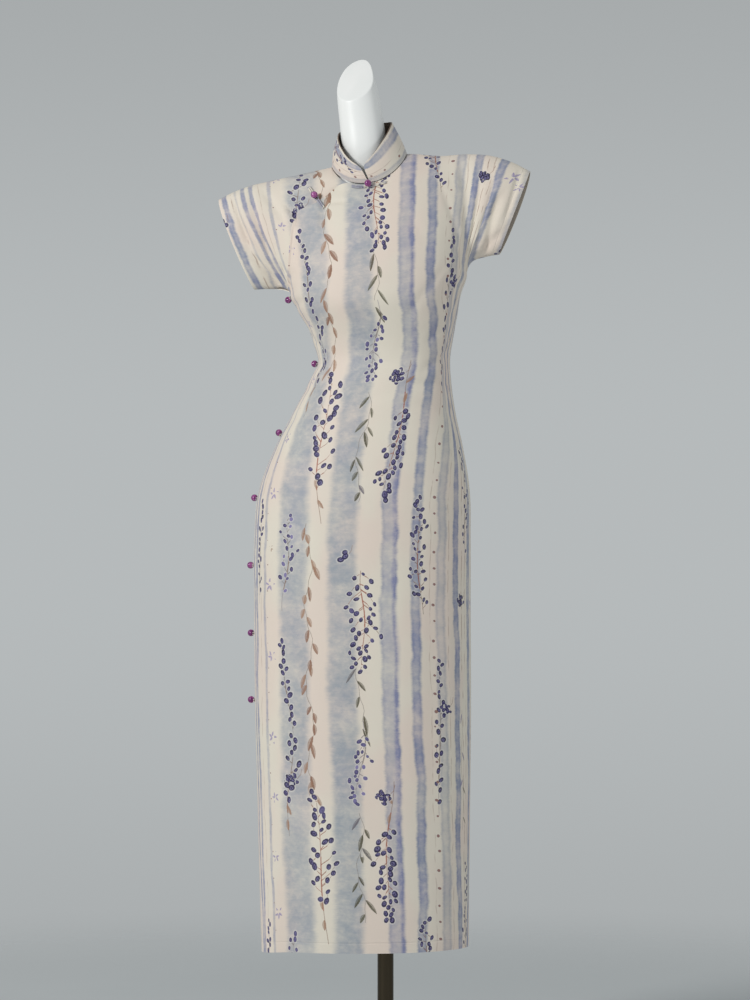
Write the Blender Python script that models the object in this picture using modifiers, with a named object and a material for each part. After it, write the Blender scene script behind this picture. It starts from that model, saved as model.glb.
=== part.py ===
"""A full-length cheongsam dress standing on a limbless dress form.

The dress is cut flat, with its short sleeves in one with the body: a front panel that crosses to the
wearer's right side, an underlap that carries the right shoulder and the front of the right sleeve, a
back panel, a stand collar, and frog fasteners with ball buttons at the collar, on the chest and down the
right side. Both side seams open into slits near the hem.

Lengths in the tables are millimetres, with +Z up, the front facing -Y and the wearer's left at +X.
The origin is the middle of the stand's base, on the floor under the pole.

Every piece of cloth is made from one surface, cloth(back, f, d). f runs across a panel: 0 is the centre
line, 1 and -1 are the side seams, and past them are the sleeves. d runs down it: 0 is the shoulder
line, 1 is the level of the armpits, and below that each unit is DROP millimetres.
"""

from math import cos, pi, radians, sin, tan

import bmesh
import bpy
import numpy as np
from mathutils import Matrix, Vector
from mathutils.bvhtree import BVHTree

METRE = 1000.0

# ---------------------------------------------------------------- cloth and seams
CLOTH = 1.2  # wall of the dress panels
COLLAR_CLOTH = 2.2  # wall of the stiffened collar
SEAM = 0.4  # gap left between two pieces at a seam
LAP = CLOTH + 1.5  # how far the underlap lies below the front panel

# ---------------------------------------------------------------- the body of the dress
BUST_Z, HEM_Z = 1272.0, 213.0
DROP = 200.0
BUST_ARC = 203.0  # from a centre line to a side seam at the bust, on the cloth
ROUNDNESS = 2.25  # exponent of the rings: 2 is an ellipse, more is boxier
RINGS = (
    # z, middle x, half width, front y, back y, yaw in degrees, tilt as rise over run
    (1272, -11, 142, -114, 92, -8, 0.11),  # the armpits
    (1240, -10.5, 130.5, -114, 86, -9, 0.09),  # bust
    (1205, -5, 118.5, -103, 77, -10, 0.06),
    (1180, -3.5, 112, -94, 71, -11, 0.04),
    (1150, -2.5, 106, -88, 68, -11, 0.02),  # waist
    (1110, -9.5, 115, -90, 76, -10, 0.0),
    (1062, -18.5, 131, -96, 90, -8, 0.0),
    (1012, -26, 149.5, -104, 110, -7, 0.0),
    (940, -34, 169, -111, 126, -6, 0.0),
    (860, -37, 173.5, -113, 131, -5, 0.0),  # hips
    (760, -37, 173.5, -112, 127, -5, 0.0),
    (600, -36, 173, -109, 121, -3, 0.0),
    (400, -34, 169, -103, 114, 0, 0.0),
    (213, -32, 165, -97, 108, 3, 0.0),  # hem
)

# ---------------------------------------------------------------- shoulders and sleeves
NECK = (-26.4, 2.0)  # where the neck's axis meets the shoulder line
SHOULDER_YAW = -8.0
NECK_ARC = 60.0  # from the neck's axis to the point where collar and shoulder meet
CUFF_F = 258.0 / BUST_ARC
SHOULDER_LINE = (
    # distance on the cloth, wearer's right x and z, wearer's left x and z
    (0, -26.4, 1472, -26.4, 1472),
    (62, -88, 1458, 36, 1478),
    (115, -140, 1447, 89, 1474),
    (160, -183, 1438, 133, 1476),
    (203, -222, 1429, 176, 1471),
    (230, -246, 1420, 204, 1461),
    (258, -268, 1409, 230, 1447),
)
UNDERARM = (
    # distance on the cloth past the armpit, wearer's right x and z, wearer's left x and z
    (13, -166, 1261, 138, 1303),
    (30, -184, 1264, 158, 1311),
    (55, -211, 1264, 181, 1315),
)
SLEEVE_BULGE = ((110, 14, 10), (160, 30, 24), (203, 38, 32), (258, 27, 24))  # distance, front, back
FRONT_SLOPE, BACK_SLOPE = 1.6, 2.8  # how square the shoulders turn down: 1 is a straight slope
ARMPIT_BLEND = 6.0  # distance over which the two panels come to share their thickness's direction
SLEEVE_START, SLEEVE_FULL = 105.0, 225.0  # where the chest's form gives way to the sleeve's

# ---------------------------------------------------------------- openings of the panels
NECK_FRONT, NECK_BACK = 0.31, 0.205  # how far down the centre lines the neckline reaches, in d
PLACKET = (
    # distance from the centre front on the cloth, d of the front panel's curved edge
    (0, 0.315),
    (20, 0.298),
    (38, 0.275),
    (48, 0.275),
    (60, 0.308),
    (72, 0.352),
    (85, 0.38),
    (102, 0.39),
    (120, 0.42),
    (129, 0.49),
    (137, 0.62),
    (150, 0.80),
    (175, 0.93),
    (203, 0.98),
)
LAP_DEPTH = 0.12  # how far the underlap reaches below the placket's edge, in d
LAP_LEVELS_OUT = (-1.2, -1.03)  # f between which the underlap rises to the level of the seams
SLIT_TOP = 585.0  # height where both side seams open
FRONT_SWING, BACK_FLARE = 40.0, -2.0  # how far the right slit's two edges part at the hem
LEFT_SWING = 8.0
BACK_FOLLOWS = 0.35  # how much of the left swing the back panel's edge takes part in
CORNER_DROP = 3.0  # how far the front's right corner hangs below the hem's level

# Soft folds and creases, as troughs (negative) and ridges between two points of the cloth.
FOLDS = (
    # back, f and d of one end, f and d of the other, half width in mm, height in mm
    (False, 0.74, 0.05, 0.90, 0.95, 11, -4.5),
    (False, 0.90, 0.12, 0.98, 0.98, 9, -3.5),
    (False, 1.13, 0.35, 1.04, 1.00, 9, -4.0),
    (False, 1.22, 0.70, 1.10, 1.00, 8, -3.0),
    (False, -1.17, 0.25, -1.06, 1.00, 11, -5.0),
    (False, -1.05, 0.10, -0.99, 0.90, 10, -3.0),
    (False, -0.86, 0.14, -0.70, 0.48, 7, -2.5),
    (True, 0.85, 0.10, 0.93, 0.98, 12, -4.5),
    (True, 1.12, 0.30, 1.03, 1.00, 10, -4.0),
    (True, -0.85, 0.10, -0.93, 0.98, 12, -4.5),
    (True, -1.14, 0.30, -1.04, 1.00, 10, -4.0),
    (True, -0.70, 1.55, 0.62, 1.75, 14, -2.5),
    (True, -0.60, 1.90, 0.70, 1.80, 14, -2.0),
)

# ---------------------------------------------------------------- collar
COLLAR_TOP = (
    # share of the way from the centre front to the centre back, height of the top edge
    (0.0, 1457),
    (0.12, 1466),
    (0.30, 1492),
    (0.5, 1517),
    (0.75, 1526),
    (1.0, 1530),
)
COLLAR_TOP_MIDDLE = (-33.0, -7.0)
COLLAR_TOP_HALF = (43.5, 51.0, 48.0)  # half width, reach to the front, reach to the back
COLLAR_ROLL = 0.17
COLLAR_RISE = 1.4  # height of the collar's foot above the neckline
COLLAR_CORNER = 11.0  # radius of the rounded front corners
COLLAR_RUN = 180.0  # length of the collar from a front end to the middle of the back
COLLAR_BOW = 2.0  # how far the collar bellies out between its seam and its top edge
COLLAR_PART = (0.9, 3.0)  # half the gap between the two ends, at the seam and at the top

# ---------------------------------------------------------------- frog fasteners
CORD = 1.2  # radius of the rolled cloth cord
BUTTON = 5.6  # radius of the ball
STEM = 1.1
STEM_HEIGHT, SIDE_STEM_HEIGHT = 2.7, 2.9  # from the cloth to the ball, in front and down the side
LIFT = 0.6  # clearance of a side frog from the cloth it is sewn to
ARM = 28.0  # length of each arm
SIDE_FROG_Z = (1264, 1143, 1029, 927, 820, 711, 604)
SIDE_FROG_F = -0.935  # the side balls stand just behind the seam
FROGS = (
    # name, back, f and d of the ball, side of the loop's arm, slope in degrees, rise of the ends, lift
    ("frog_collar", False, 0.0, 0.342, 1, 0.0, 5.0, 0.6),
    ("frog_chest", False, -0.425, 0.325, 1, 64.0, 0.0, 1.4),
)

# ---------------------------------------------------------------- dress form and stand
FORM = (
    # z, middle x, half width, front y, back y, tilt
    (700, -33, 138, -92, 108, 0.0),
    (712, -36, 158, -102, 117, 0.0),
    (760, -37, 166, -105, 120, 0.0),
    (860, -37, 166, -105.5, 123.5, 0.0),
    (940, -34, 161.5, -103.5, 118.5, 0.0),
    (1012, -26, 142, -96.5, 102.5, 0.0),
    (1062, -18.5, 123.5, -88.5, 82.5, 0.0),
    (1110, -9.5, 108, -83, 69, 0.0),
    (1150, -2.5, 98.5, -81, 61, 0.02),
    (1205, -5, 110.5, -91, 68, 0.06),
    (1245, -10.5, 121.5, -104, 78, 0.09),
    (1290, -13, 128, -106, 84, 0.10),
    (1335, -17, 134, -88, 76, 0.10),
    (1380, -22, 142, -64, 66, 0.09),
    (1413, -24, 128, -42, 54, 0.09),
    (1430, -25, 96, -37, 47, 0.11),
    (1442, -26, 58, -38, 42, 0.13),
    (1460, -28, 41, -38, 38, 0.13),
    (1490, -33, 36.5, -39, 35, 0.12),
    (1530, -38.5, 34.5, -38, 31, 0.12),
    (1573, -44, 33, -38, 28, 0.12),
    (1613, -49.5, 27.5, -36, 25, 0.12),
    (1660, -51, 25, -35, 24, 0.12),
)
NECK_CUT = (-50, -5, 1597)  # a point of the slanting cut across the top of the neck
NECK_CUT_NORMAL = (-0.33, -0.70, 0.63)
POLE_RADIUS = 13.0
BASE_RADIUS, BASE_THICK, BASE_EDGE = 180.0, 9.0, 2.0

# ---------------------------------------------------------------- fineness of the solids
NECK_COLUMNS = (0.155, 0.205, 0.245, 0.278)  # extra columns, on both sides, that shape the neckline
PLACKET_COLUMNS = (-0.74, -0.675, -0.63)  # and for the steep part of the front's curved edge
LOWER_LEVELS = (
    1.1, 1.22, 1.34, 1.46, 1.58, 1.72, 1.88, 2.06, 2.26, 2.48, 2.72, 3.0, 3.4, 3.85, 4.3, 4.8, 5.3, 5.8,
)  # d of the rows below the armpits
UPPER_ROWS = 8
SAMPLES = 49  # points along each curve before it is divided by length


def smooth(table, x, level_start=True):
    """The table's columns at each x, on a smooth curve through its rows. It may start level."""
    rows = np.asarray(table, float)
    order = np.argsort(rows[:, 0])
    rows = rows[order]
    knots, values = rows[:, 0], rows[:, 1:]
    slopes = np.gradient(values, knots, axis=0)
    if level_start:
        slopes[0 if order[0] == 0 else -1] = 0.0
    x = np.clip(np.atleast_1d(np.asarray(x, float)), knots[0], knots[-1])
    i = np.clip(np.searchsorted(knots, x, side="right") - 1, 0, len(knots) - 2)
    span = (knots[i + 1] - knots[i])[:, None]
    t = ((x - knots[i])[:, None]) / span
    return (
        values[i] * (1 + 2 * t) * (1 - t) ** 2
        + slopes[i] * span * t * (1 - t) ** 2
        + values[i + 1] * t * t * (3 - 2 * t)
        + slopes[i + 1] * span * t * t * (t - 1)
    )


def ease(x, low, high):
    """0 before low, 1 after high, and a smooth rise between them."""
    t = np.clip((x - low) / (high - low), 0, 1)
    return t * t * (3 - 2 * t)


def along(lines, share):
    """The point at a share of each line's length. lines is (n, points, 3) and share is (n,)."""
    steps = np.linalg.norm(np.diff(lines, axis=1), axis=2)
    run = np.concatenate([np.zeros((len(lines), 1)), np.cumsum(steps, axis=1)], axis=1)
    wanted = np.clip(share, 0, 1) * run[:, -1]
    i = np.clip((run[:, 1:] < wanted[:, None]).sum(axis=1), 0, lines.shape[1] - 2)
    row = np.arange(len(lines))
    t = (wanted - run[row, i]) / np.maximum(run[row, i + 1] - run[row, i], 1e-9)
    return lines[row, i] * (1 - t)[:, None] + lines[row, i + 1] * t[:, None]


def ring_point(back, f, z):
    """The cloth below the armpits: the point at share f of the ring at height z."""
    mid_x, half, front, behind, yaw, tilt = smooth(RINGS, z).T
    mid_y = (front + behind) / 2
    reach = (behind - front) / 2
    angle = np.linspace(0, pi / 2, SAMPLES)
    power = 2 / ROUNDNESS
    across = half[:, None] * np.sin(angle) ** power
    ahead = -reach[:, None] * np.maximum(np.cos(angle), 0) ** power
    quarter = np.stack([across, ahead, np.zeros_like(across)], axis=2)
    local = along(quarter, np.abs(f))
    x = local[:, 0] * np.where(f < 0, -1, 1)
    y = np.where(back, -local[:, 1], local[:, 1])
    turn = np.radians(yaw)
    world_x = x * np.cos(turn) - y * np.sin(turn)
    world_y = x * np.sin(turn) + y * np.cos(turn)
    return np.stack([mid_x + world_x, mid_y + world_y, z + tilt * world_x], axis=1)


def shoulder_point(f):
    """The point of the shoulder line at f."""
    right_x, right_z, left_x, left_z = smooth(SHOULDER_LINE, np.abs(f) * BUST_ARC, False).T
    x = np.where(f < 0, right_x, left_x)
    z = np.where(f < 0, right_z, left_z)
    return np.stack([x, NECK[1] + (x - NECK[0]) * tan(radians(SHOULDER_YAW)), z], axis=1)


def underarm_point(f):
    """The point of the underarm seam at f, past the side seam."""
    armpit = ring_point(np.zeros(len(f), bool), np.where(f < 0, -1.0, 1.0), np.full(len(f), BUST_Z))
    cuff = shoulder_point(np.where(f < 0, -CUFF_F, CUFF_F))
    past = (np.abs(f) - 1) * BUST_ARC
    made = np.empty_like(armpit)
    for i in range(len(f)):
        side = (1, 2) if f[i] < 0 else (3, 4)
        rows = [(0, armpit[i, 0], armpit[i, 2])] + [(r[0], r[side[0]], r[side[1]]) for r in UNDERARM]
        x, z = smooth(rows, past[i], False)[0]
        share = past[i] / UNDERARM[-1][0]
        made[i] = (x, armpit[i, 1] * (1 - share) + cuff[i, 1] * share, z)
    return made


def upper_point(back, f, d):
    """The cloth above the armpits: from the shoulder line at d 0 to the bust or underarm seam at 1."""
    top = shoulder_point(f)
    low = ring_point(back, np.clip(f, -1, 1), np.full(len(f), BUST_Z))
    past = np.abs(f) > 1
    if past.any():
        low[past] = underarm_point(f[past])
    u = np.abs(f) * BUST_ARC
    sleeve = ease(u, SLEEVE_START, SLEEVE_FULL)[:, None]
    front_bulge, back_bulge = smooth(SLEEVE_BULGE, u).T
    bulge = np.where(back, back_bulge, -front_bulge)[:, None]
    slope = np.where(back, BACK_SLOPE, FRONT_SLOPE)[:, None]
    s = np.linspace(0, 1, SAMPLES)[None, :]
    fall = 1 - np.cos(pi / 2 * s)
    reach = (1 - (1 - fall) ** slope) ** (1 / slope)
    chest_z, sleeve_z = fall, (1 - np.cos(pi * s)) / 2
    down = chest_z * (1 - sleeve) + sleeve_z * sleeve
    out = reach * (1 - sleeve) + s * sleeve
    span = (low - top)[:, None, :]
    line = np.empty((len(f), SAMPLES, 3))
    swell = bulge * sleeve * np.sin(pi * s)
    line[:, :, 0] = top[:, None, 0] + span[:, :, 0] * down**1.15 - swell * sin(radians(SHOULDER_YAW))
    line[:, :, 1] = top[:, None, 1] + span[:, :, 1] * out + swell * cos(radians(SHOULDER_YAW))
    line[:, :, 2] = top[:, None, 2] + span[:, :, 2] * down
    return along(line, d)


def swing(back, f, z):
    """How far a slit's edges move from the closed ring, towards the hem."""
    opened = ease(SLIT_TOP - z, 0, SLIT_TOP - HEM_Z)
    right, left = ease(-f, 0.5, 1.0) * opened, ease(f, 0.6, 1.0) * opened
    y = np.where(back, BACK_FOLLOWS * LEFT_SWING * left, -FRONT_SWING * right - LEFT_SWING * left)
    x = np.where(back, -BACK_FLARE * right, 0.0)
    z_move = np.where(back, 0.0, -CORNER_DROP * right)
    return np.stack([x, y, z_move], axis=1)


def bare(back, f, d):
    """The cloth's surface without its folds. Past an edge it runs on over the seam."""
    back, f, d = (np.array(a) for a in np.broadcast_arrays(back, np.asarray(f, float), d))
    back, f, d = back.ravel().astype(bool), f.ravel(), d.ravel().astype(float)
    over = d < 0
    back[over] = ~back[over]
    d[over] = -d[over]
    round_side = (np.abs(f) > 1) & (d > 1) & (np.abs(f) - 1 < d - 1)
    back[round_side] = ~back[round_side]
    f[round_side] = np.sign(f[round_side]) * (2 - np.abs(f[round_side]))
    under_arm = (np.abs(f) > 1) & (d > 1)
    back[under_arm] = ~back[under_arm]
    d[under_arm] = 2 - d[under_arm]
    points = np.empty((len(f), 3))
    low = d > 1
    if low.any():
        z = BUST_Z - (d[low] - 1) * DROP
        points[low] = ring_point(back[low], f[low], z) + swing(back[low], f[low], z)
    if (~low).any():
        points[~low] = upper_point(back[~low], f[~low], d[~low])
    return points


def fold_height(back, f, d):
    """The height of the soft folds at a point of the cloth."""
    height = np.zeros(np.shape(f))
    for on_back, f0, d0, f1, d1, half, rise in FOLDS:
        run = np.array([(f1 - f0) * BUST_ARC, (d1 - d0) * DROP])
        du, dv = (f - f0) * BUST_ARC, (d - d0) * DROP
        t = (du * run[0] + dv * run[1]) / (run @ run)
        off = np.hypot(du - np.clip(t, 0, 1) * run[0], dv - np.clip(t, 0, 1) * run[1])
        ends = ease(t, -0.15, 0.3) * (1 - ease(t, 0.75, 1.15))
        height += np.where(back == on_back, rise * ends * np.exp(-((off / half) ** 2)), 0)
    return height


def outward(back, f, d):
    """The way out of the garment at each point."""
    step = 0.012
    f_low, f_high = np.maximum(f - step, -CUFF_F), np.minimum(f + step, CUFF_F)
    across = bare(back, f_high, d) - bare(back, f_low, d)
    down = bare(back, f, np.minimum(d + step, level(HEM_Z))) - bare(back, f, d - step)
    normal = np.cross(down, across) * (-1 if back else 1)
    return normal / np.linalg.norm(normal, axis=1)[:, None]


def cloth(back, f, d, out=0.0):
    """Points of the cloth's outer face, moved out by that many millimetres."""
    f, d, out = np.broadcast_arrays(np.asarray(f, float), np.asarray(d, float), out)
    shape = f.shape
    f, d, out = f.ravel(), d.ravel(), out.ravel()
    normal = outward(back, f, d)
    # At the armpits the two panels share one way out, or their walls would cross there.
    from_seam = np.hypot(np.maximum(1 - np.abs(f), 0) * BUST_ARC, np.maximum(1 - d, 0) * DROP)
    shared = np.exp(-((from_seam / ARMPIT_BLEND) ** 2))[:, None]
    normal = normal + shared * outward(not back, f, d)
    normal /= np.linalg.norm(normal, axis=1)[:, None]
    rise = fold_height(back, f, d) + out
    return (bare(back, f, d) + normal * rise[:, None]).reshape(*shape, 3)


def level(z):
    """The d of a height below the armpits."""
    return 1 + (BUST_Z - z) / DROP


def neckline(back, f):
    """How far down the neckline reaches at f, and 0 on the shoulders."""
    depth = NECK_BACK if back else NECK_FRONT
    share = np.clip(np.abs(f) * BUST_ARC / NECK_ARC, 0, 1)
    return depth * np.sqrt(1 - share**2)


def placket(f):
    """The d of the front panel's curved edge, which crosses the wearer's right chest."""
    return smooth(PLACKET, np.abs(f) * BUST_ARC)[:, 0]


# ---------------------------------------------------------------- meshes


def material(name, colour, roughness, metallic=0.0):
    made = bpy.data.materials.new(name)
    made.use_nodes = True
    shader = made.node_tree.nodes["Principled BSDF"]
    shader.inputs["Base Color"].default_value = (*colour, 1)
    shader.inputs["Roughness"].default_value = roughness
    shader.inputs["Metallic"].default_value = metallic
    return made


def link(obj, finish):
    """Puts an object in the part's collection, with its material and smooth shading."""
    bpy.data.collections["cheongsam_on_form"].objects.link(obj)
    obj.data.materials.append(finish)
    if obj.type == "MESH":
        obj.data.shade_smooth()
        obj.data.set_sharp_from_angle(angle=radians(50))
    return obj


def wall(name, patches, finish):
    """A closed wall of cloth. Each patch is an outer and an inner grid of points. Patches that share an
    edge become one sheet, and its free edges are closed from the outer to the inner face."""
    index, quads, points = {}, [], []
    for outer, inner in patches:
        number = np.empty(outer.shape[:2], int)
        for r, c in np.ndindex(number.shape):
            key = tuple(np.round(outer[r, c], 2))
            if key not in index:
                index[key] = len(index)
                points.append((outer[r, c], inner[r, c]))
            number[r, c] = index[key]
        for r, c in np.ndindex(number.shape[0] - 1, number.shape[1] - 1):
            ring = (number[r, c], number[r + 1, c], number[r + 1, c + 1], number[r, c + 1])
            quads.append([int(i) for i in ring])
    count = len(points)
    edges = {(a, b) for quad in quads for a, b in zip(quad, quad[1:] + quad[:1])}
    rims = [(b, a, a + count, b + count) for a, b in edges if (b, a) not in edges]
    inside = [[i + count for i in reversed(quad)] for quad in quads]
    mesh = bpy.data.meshes.new(name)
    places = [Vector(pair[side]) / METRE for side in (0, 1) for pair in points]
    mesh.from_pydata(places, [], quads + inside + sorted(rims))
    return link(bpy.data.objects.new(name, mesh), finish)


def layers(back, f, d, sink=0.0):
    """The two faces of a piece of cloth that lies sunk below the panels' face."""
    return cloth(back, f, d, -sink), cloth(back, f, d, -sink - CLOTH)


def columns(low, high, count, extra=()):
    """f values from low to high, with those that shape the neckline and any extra ones."""
    even = np.linspace(-1, 1, count)
    plain = (low + high) / 2 + (high - low) / 2 * (0.7 * even + 0.3 * np.sin(even * pi / 2))
    wanted = [side * v for side in (-1, 1) for v in (*NECK_COLUMNS, NECK_ARC / BUST_ARC)]
    wanted = [v for v in (*wanted, *extra) if low < v < high]
    kept = [v for v in plain if min((abs(v - w) for w in wanted), default=1) > 0.03]
    return np.array(sorted(kept + wanted))


def rows_down(count=UPPER_ROWS):
    """Shares from 0 to 1 that lie closer together at both ends, where the cloth folds over."""
    even = np.linspace(0, 1, count + 1)
    return (0.35 * even + 0.65 * (1 - np.cos(pi * even)) / 2)[:, None]


def upper_grid(top, f, low=1.0):
    """d values from each column's top to the armpits, as a grid with f."""
    share = rows_down()
    d = top[None, :] * (1 - share) + low * share
    return np.broadcast_to(f, d.shape), d


def sleeve_grid(side):
    """f and d over one sleeve, from the armhole's line to the cuff."""
    f = side * np.concatenate([[1 - SEAM / 2 / BUST_ARC], np.linspace(1.05, CUFF_F, 5)])
    gap = SEAM / 2 / DROP
    low = np.where(np.abs(f) < 1, 1.0, 1 - gap)
    share = rows_down()
    d = gap * (1 - share) + low[None, :] * share
    return np.broadcast_to(f, d.shape)[:, ::side], d[:, ::side]


def body_grid(top, f):
    """f and d over a panel's body, from its top edge to the hem."""
    upper_f, upper_d = upper_grid(top, f)
    lower_d = np.array([*LOWER_LEVELS, level(HEM_Z)])[:, None] * np.ones(len(f))
    return np.vstack([upper_f, np.broadcast_to(f, lower_d.shape)]), np.vstack([upper_d, lower_d])


def make_front(finish):
    edge = 1 - SEAM / 2 / BUST_ARC
    gap = SEAM / 2 / DROP
    f = columns(-edge, edge, 23, PLACKET_COLUMNS)
    top = np.where(f <= 0, placket(f), neckline(False, f) + gap)
    body = body_grid(top, f)
    return wall("front_panel", [layers(False, *body), layers(False, *sleeve_grid(1))], finish)


def make_back(finish):
    edge = 1 - SEAM / 2 / BUST_ARC
    f = columns(-edge, edge, 21)
    body = body_grid(neckline(True, f) + SEAM / 2 / DROP, f)
    patches = [layers(True, *body), *(layers(True, *sleeve_grid(side)) for side in (-1, 1))]
    return wall("back_panel", [(out[:, ::-1], inn[:, ::-1]) for out, inn in patches], finish)


def lap_sink(f, d):
    """How deep the underlap lies: level with the seams, and below the front panel at its edge."""
    inward = ease(f, *LAP_LEVELS_OUT)
    return LAP * inward * ease(d / placket(np.clip(f, -1, 0).ravel()).reshape(f.shape), 0.3, 0.9)


def make_underlap(finish):
    gap = SEAM / 2 / DROP
    seam = 1 - SEAM / 2 / BUST_ARC
    f = columns(-seam, -2 * SEAM / BUST_ARC, 12, PLACKET_COLUMNS)
    low = np.minimum(placket(f) + LAP_DEPTH, 1.0)
    low[0] = 1.0
    share = rows_down()
    d = (neckline(False, f) + gap)[None, :] * (1 - share) + low[None, :] * share
    f = np.broadcast_to(f, d.shape)
    patches = [layers(False, *grid, lap_sink(*grid)) for grid in ((f, d), sleeve_grid(-1))]
    return wall("underlap", patches, finish)


def collar_rows(q, height):
    """Points of the collar's outer face: q is -1 and 1 at the front ends and 0 at the back, height 0 at
    the seam and 1 at the top edge."""
    share = 1 - np.abs(q)  # from the centre front to the centre back
    arc_front = 0.5  # the share at which the seam passes over the shoulder line
    f = np.where(share < arc_front, np.sin(share / arc_front * pi / 2), 0)
    f = np.where(share >= arc_front, np.cos((share - arc_front) / (1 - arc_front) * pi / 2), f)
    f = f * np.sign(q) * NECK_ARC / BUST_ARC
    in_front = share < arc_front
    foot = np.empty((len(q), 3))
    for back in (False, True):
        chosen = in_front != back
        foot[chosen] = cloth(back, f[chosen], neckline(back, f[chosen]), 0.0)
    foot[:, 2] += COLLAR_RISE
    angle = share * pi
    half, front, behind = COLLAR_TOP_HALF
    x = np.sign(q) * half * np.sin(angle)
    y = -np.where(in_front, front, behind) * np.cos(angle)
    turn = radians(SHOULDER_YAW)
    top = np.stack(
        [
            COLLAR_TOP_MIDDLE[0] + x * cos(turn) - y * sin(turn),
            COLLAR_TOP_MIDDLE[1] + x * sin(turn) + y * cos(turn),
            smooth(COLLAR_TOP, share)[:, 0] + COLLAR_ROLL * x,
        ],
        axis=1,
    )
    rim = np.linalg.norm(top - foot, axis=1)
    run = share * COLLAR_RUN
    corner = COLLAR_CORNER * (1 - np.sqrt(np.clip(1 - (1 - np.clip(run / COLLAR_CORNER, 0, 1)) ** 2, 0, 1)))
    full = (rim - corner) / rim
    h = height[:, None] * full[None, :]
    points = foot[None] * (1 - h[..., None]) + top[None] * h[..., None]
    bow = COLLAR_BOW * np.sin(pi * np.clip(h, 0, 1))[..., None]
    middle = points.mean(axis=1, keepdims=True)
    away = (points - middle) * (1, 1, 0)
    away /= np.maximum(np.linalg.norm(away, axis=2), 1e-6)[..., None]
    low, high = COLLAR_PART
    part = (low + (high - low) * h)[..., None] * np.array([cos(turn), sin(turn), 0])
    near_end = (1 - ease(run, 0, 30))[None, :, None]
    return points + away * bow + part * near_end * np.sign(q)[None, :, None], away


def make_collar(finish):
    ends = np.array([0.0, 0.008, 0.02, 0.038, 0.06])
    share = np.concatenate([ends, np.linspace(0.1, 1, 15)])
    q = np.concatenate([share - 1, (1 - share)[::-1][1:]])
    outer, away = collar_rows(q, np.linspace(0, 1, 6))
    return wall("collar", [(outer, outer - away * COLLAR_CLOTH)], finish)


# ---------------------------------------------------------------- fasteners


def arm_path(loop):
    """The cord of one arm, as (distance from the button, distance aside): two legs side by side that
    turn round the stem (loop) or meet just short of it."""
    leg = CORD + 0.2
    turn = STEM + CORD + 0.4 if loop else leg
    start = 0.0 if loop else STEM + 3 * CORD + 0.8 + leg
    bend = [(start - turn * cos(a), turn * sin(a)) for a in np.linspace(0, pi / 2, 3)]
    shoulder = [(start + 4.5, (turn + leg) / 2 if loop else leg), (start + 8.0, leg)]
    side = bend + shoulder + [(s, leg) for s in np.linspace(start + 8.0, ARM, 4)[1:]]
    return [(s, -a) for s, a in reversed(side)] + side[1:]


def cord(name, points, finish):
    """A rolled cord along world points in millimetres, with closed ends."""
    curve = bpy.data.curves.new(name, "CURVE")
    curve.dimensions = "3D"
    curve.bevel_depth = CORD / METRE
    curve.bevel_resolution = 1
    curve.use_fill_caps = True
    spline = curve.splines.new("POLY")
    spline.points.add(len(points) - 1)
    for point, place in zip(spline.points, points):
        point.co = (*(Vector(place) / METRE), 1)
    return link(bpy.data.objects.new(name, curve), finish)


def button(name, foot, normal, start, finish):
    """A ball on a stem that is start millimetres high, turned about its own axis."""
    arc = np.linspace(pi - 0.26, 0.0, 7)
    profile = [(0, 0), (STEM, 0), (STEM, start)]
    profile += [(BUTTON * sin(a), start + BUTTON * (1 + cos(a))) for a in arc[:-1]]
    profile.append((0, start + 2 * BUTTON))
    profile.reverse()
    mesh = bpy.data.meshes.new(name)
    edges = [(i, i + 1) for i in range(len(profile) - 1)]
    mesh.from_pydata([(r / METRE, 0, h / METRE) for r, h in profile], edges, [])
    obj = bpy.data.objects.new(name, mesh)
    screw = obj.modifiers.new("turn", "SCREW")
    screw.steps = screw.render_steps = 10
    screw.use_merge_vertices = True
    screw.merge_threshold = 0.00001
    bpy.data.collections["cheongsam_on_form"].objects.link(obj)
    obj.data.materials.append(finish)
    turned = Vector(normal).to_track_quat("Z", "Y").to_matrix().to_4x4()
    obj.matrix_world = Matrix.Translation(Vector(foot) / METRE) @ turned
    return obj


def rest_on(panels, spot, way, clear):
    """Brings a point in along way until it just clears the modelled pieces of cloth."""
    spot = Vector(spot + way * 15.0) / METRE
    for _ in range(40):
        gap = min(tree.find_nearest(spot)[3] for tree in panels)
        spot -= Vector(way) * (gap - clear / METRE)
    return spot * METRE


def frog(name, back, f, d, loop_side, slope, bend, lift, panels, finishes):
    """A frog with its ball at (f, d). loop_side is the side that the loop's arm runs to, as f goes.
    slope turns the frog down that way in degrees, and bend curves both arms up. A frog on the back
    panel has its ball on the side's taller stem."""
    spot, below, beside = cloth(back, np.array([f, f, f + 0.01]), np.array([d, d + 0.01, d]))
    way = outward(back, np.array([f]), np.array([d]))[0]
    across = beside - spot
    across -= way * (across @ way)
    across /= np.linalg.norm(across)
    down = np.cross(across, way) * np.sign(np.cross(across, way) @ (below - spot))
    run = across * cos(radians(slope)) + down * sin(radians(slope))
    aside = down * cos(radians(slope)) - across * sin(radians(slope))
    cloth_finish, button_finish = finishes
    for sign, kind in ((loop_side, "loop"), (-loop_side, "tail")):
        points = []
        for s, a in arm_path(kind == "loop"):
            place = spot + run * sign * s + aside * (a - bend * (s / ARM) ** 2)
            points.append(rest_on(panels, place, way, CORD + lift))
        cord(f"{name}_{kind}", points, cloth_finish)
    stem = SIDE_STEM_HEIGHT if back else STEM_HEIGHT
    button(f"{name}_button", rest_on(panels, spot, way, lift), way, stem, button_finish)


# ---------------------------------------------------------------- dress form and stand


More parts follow.
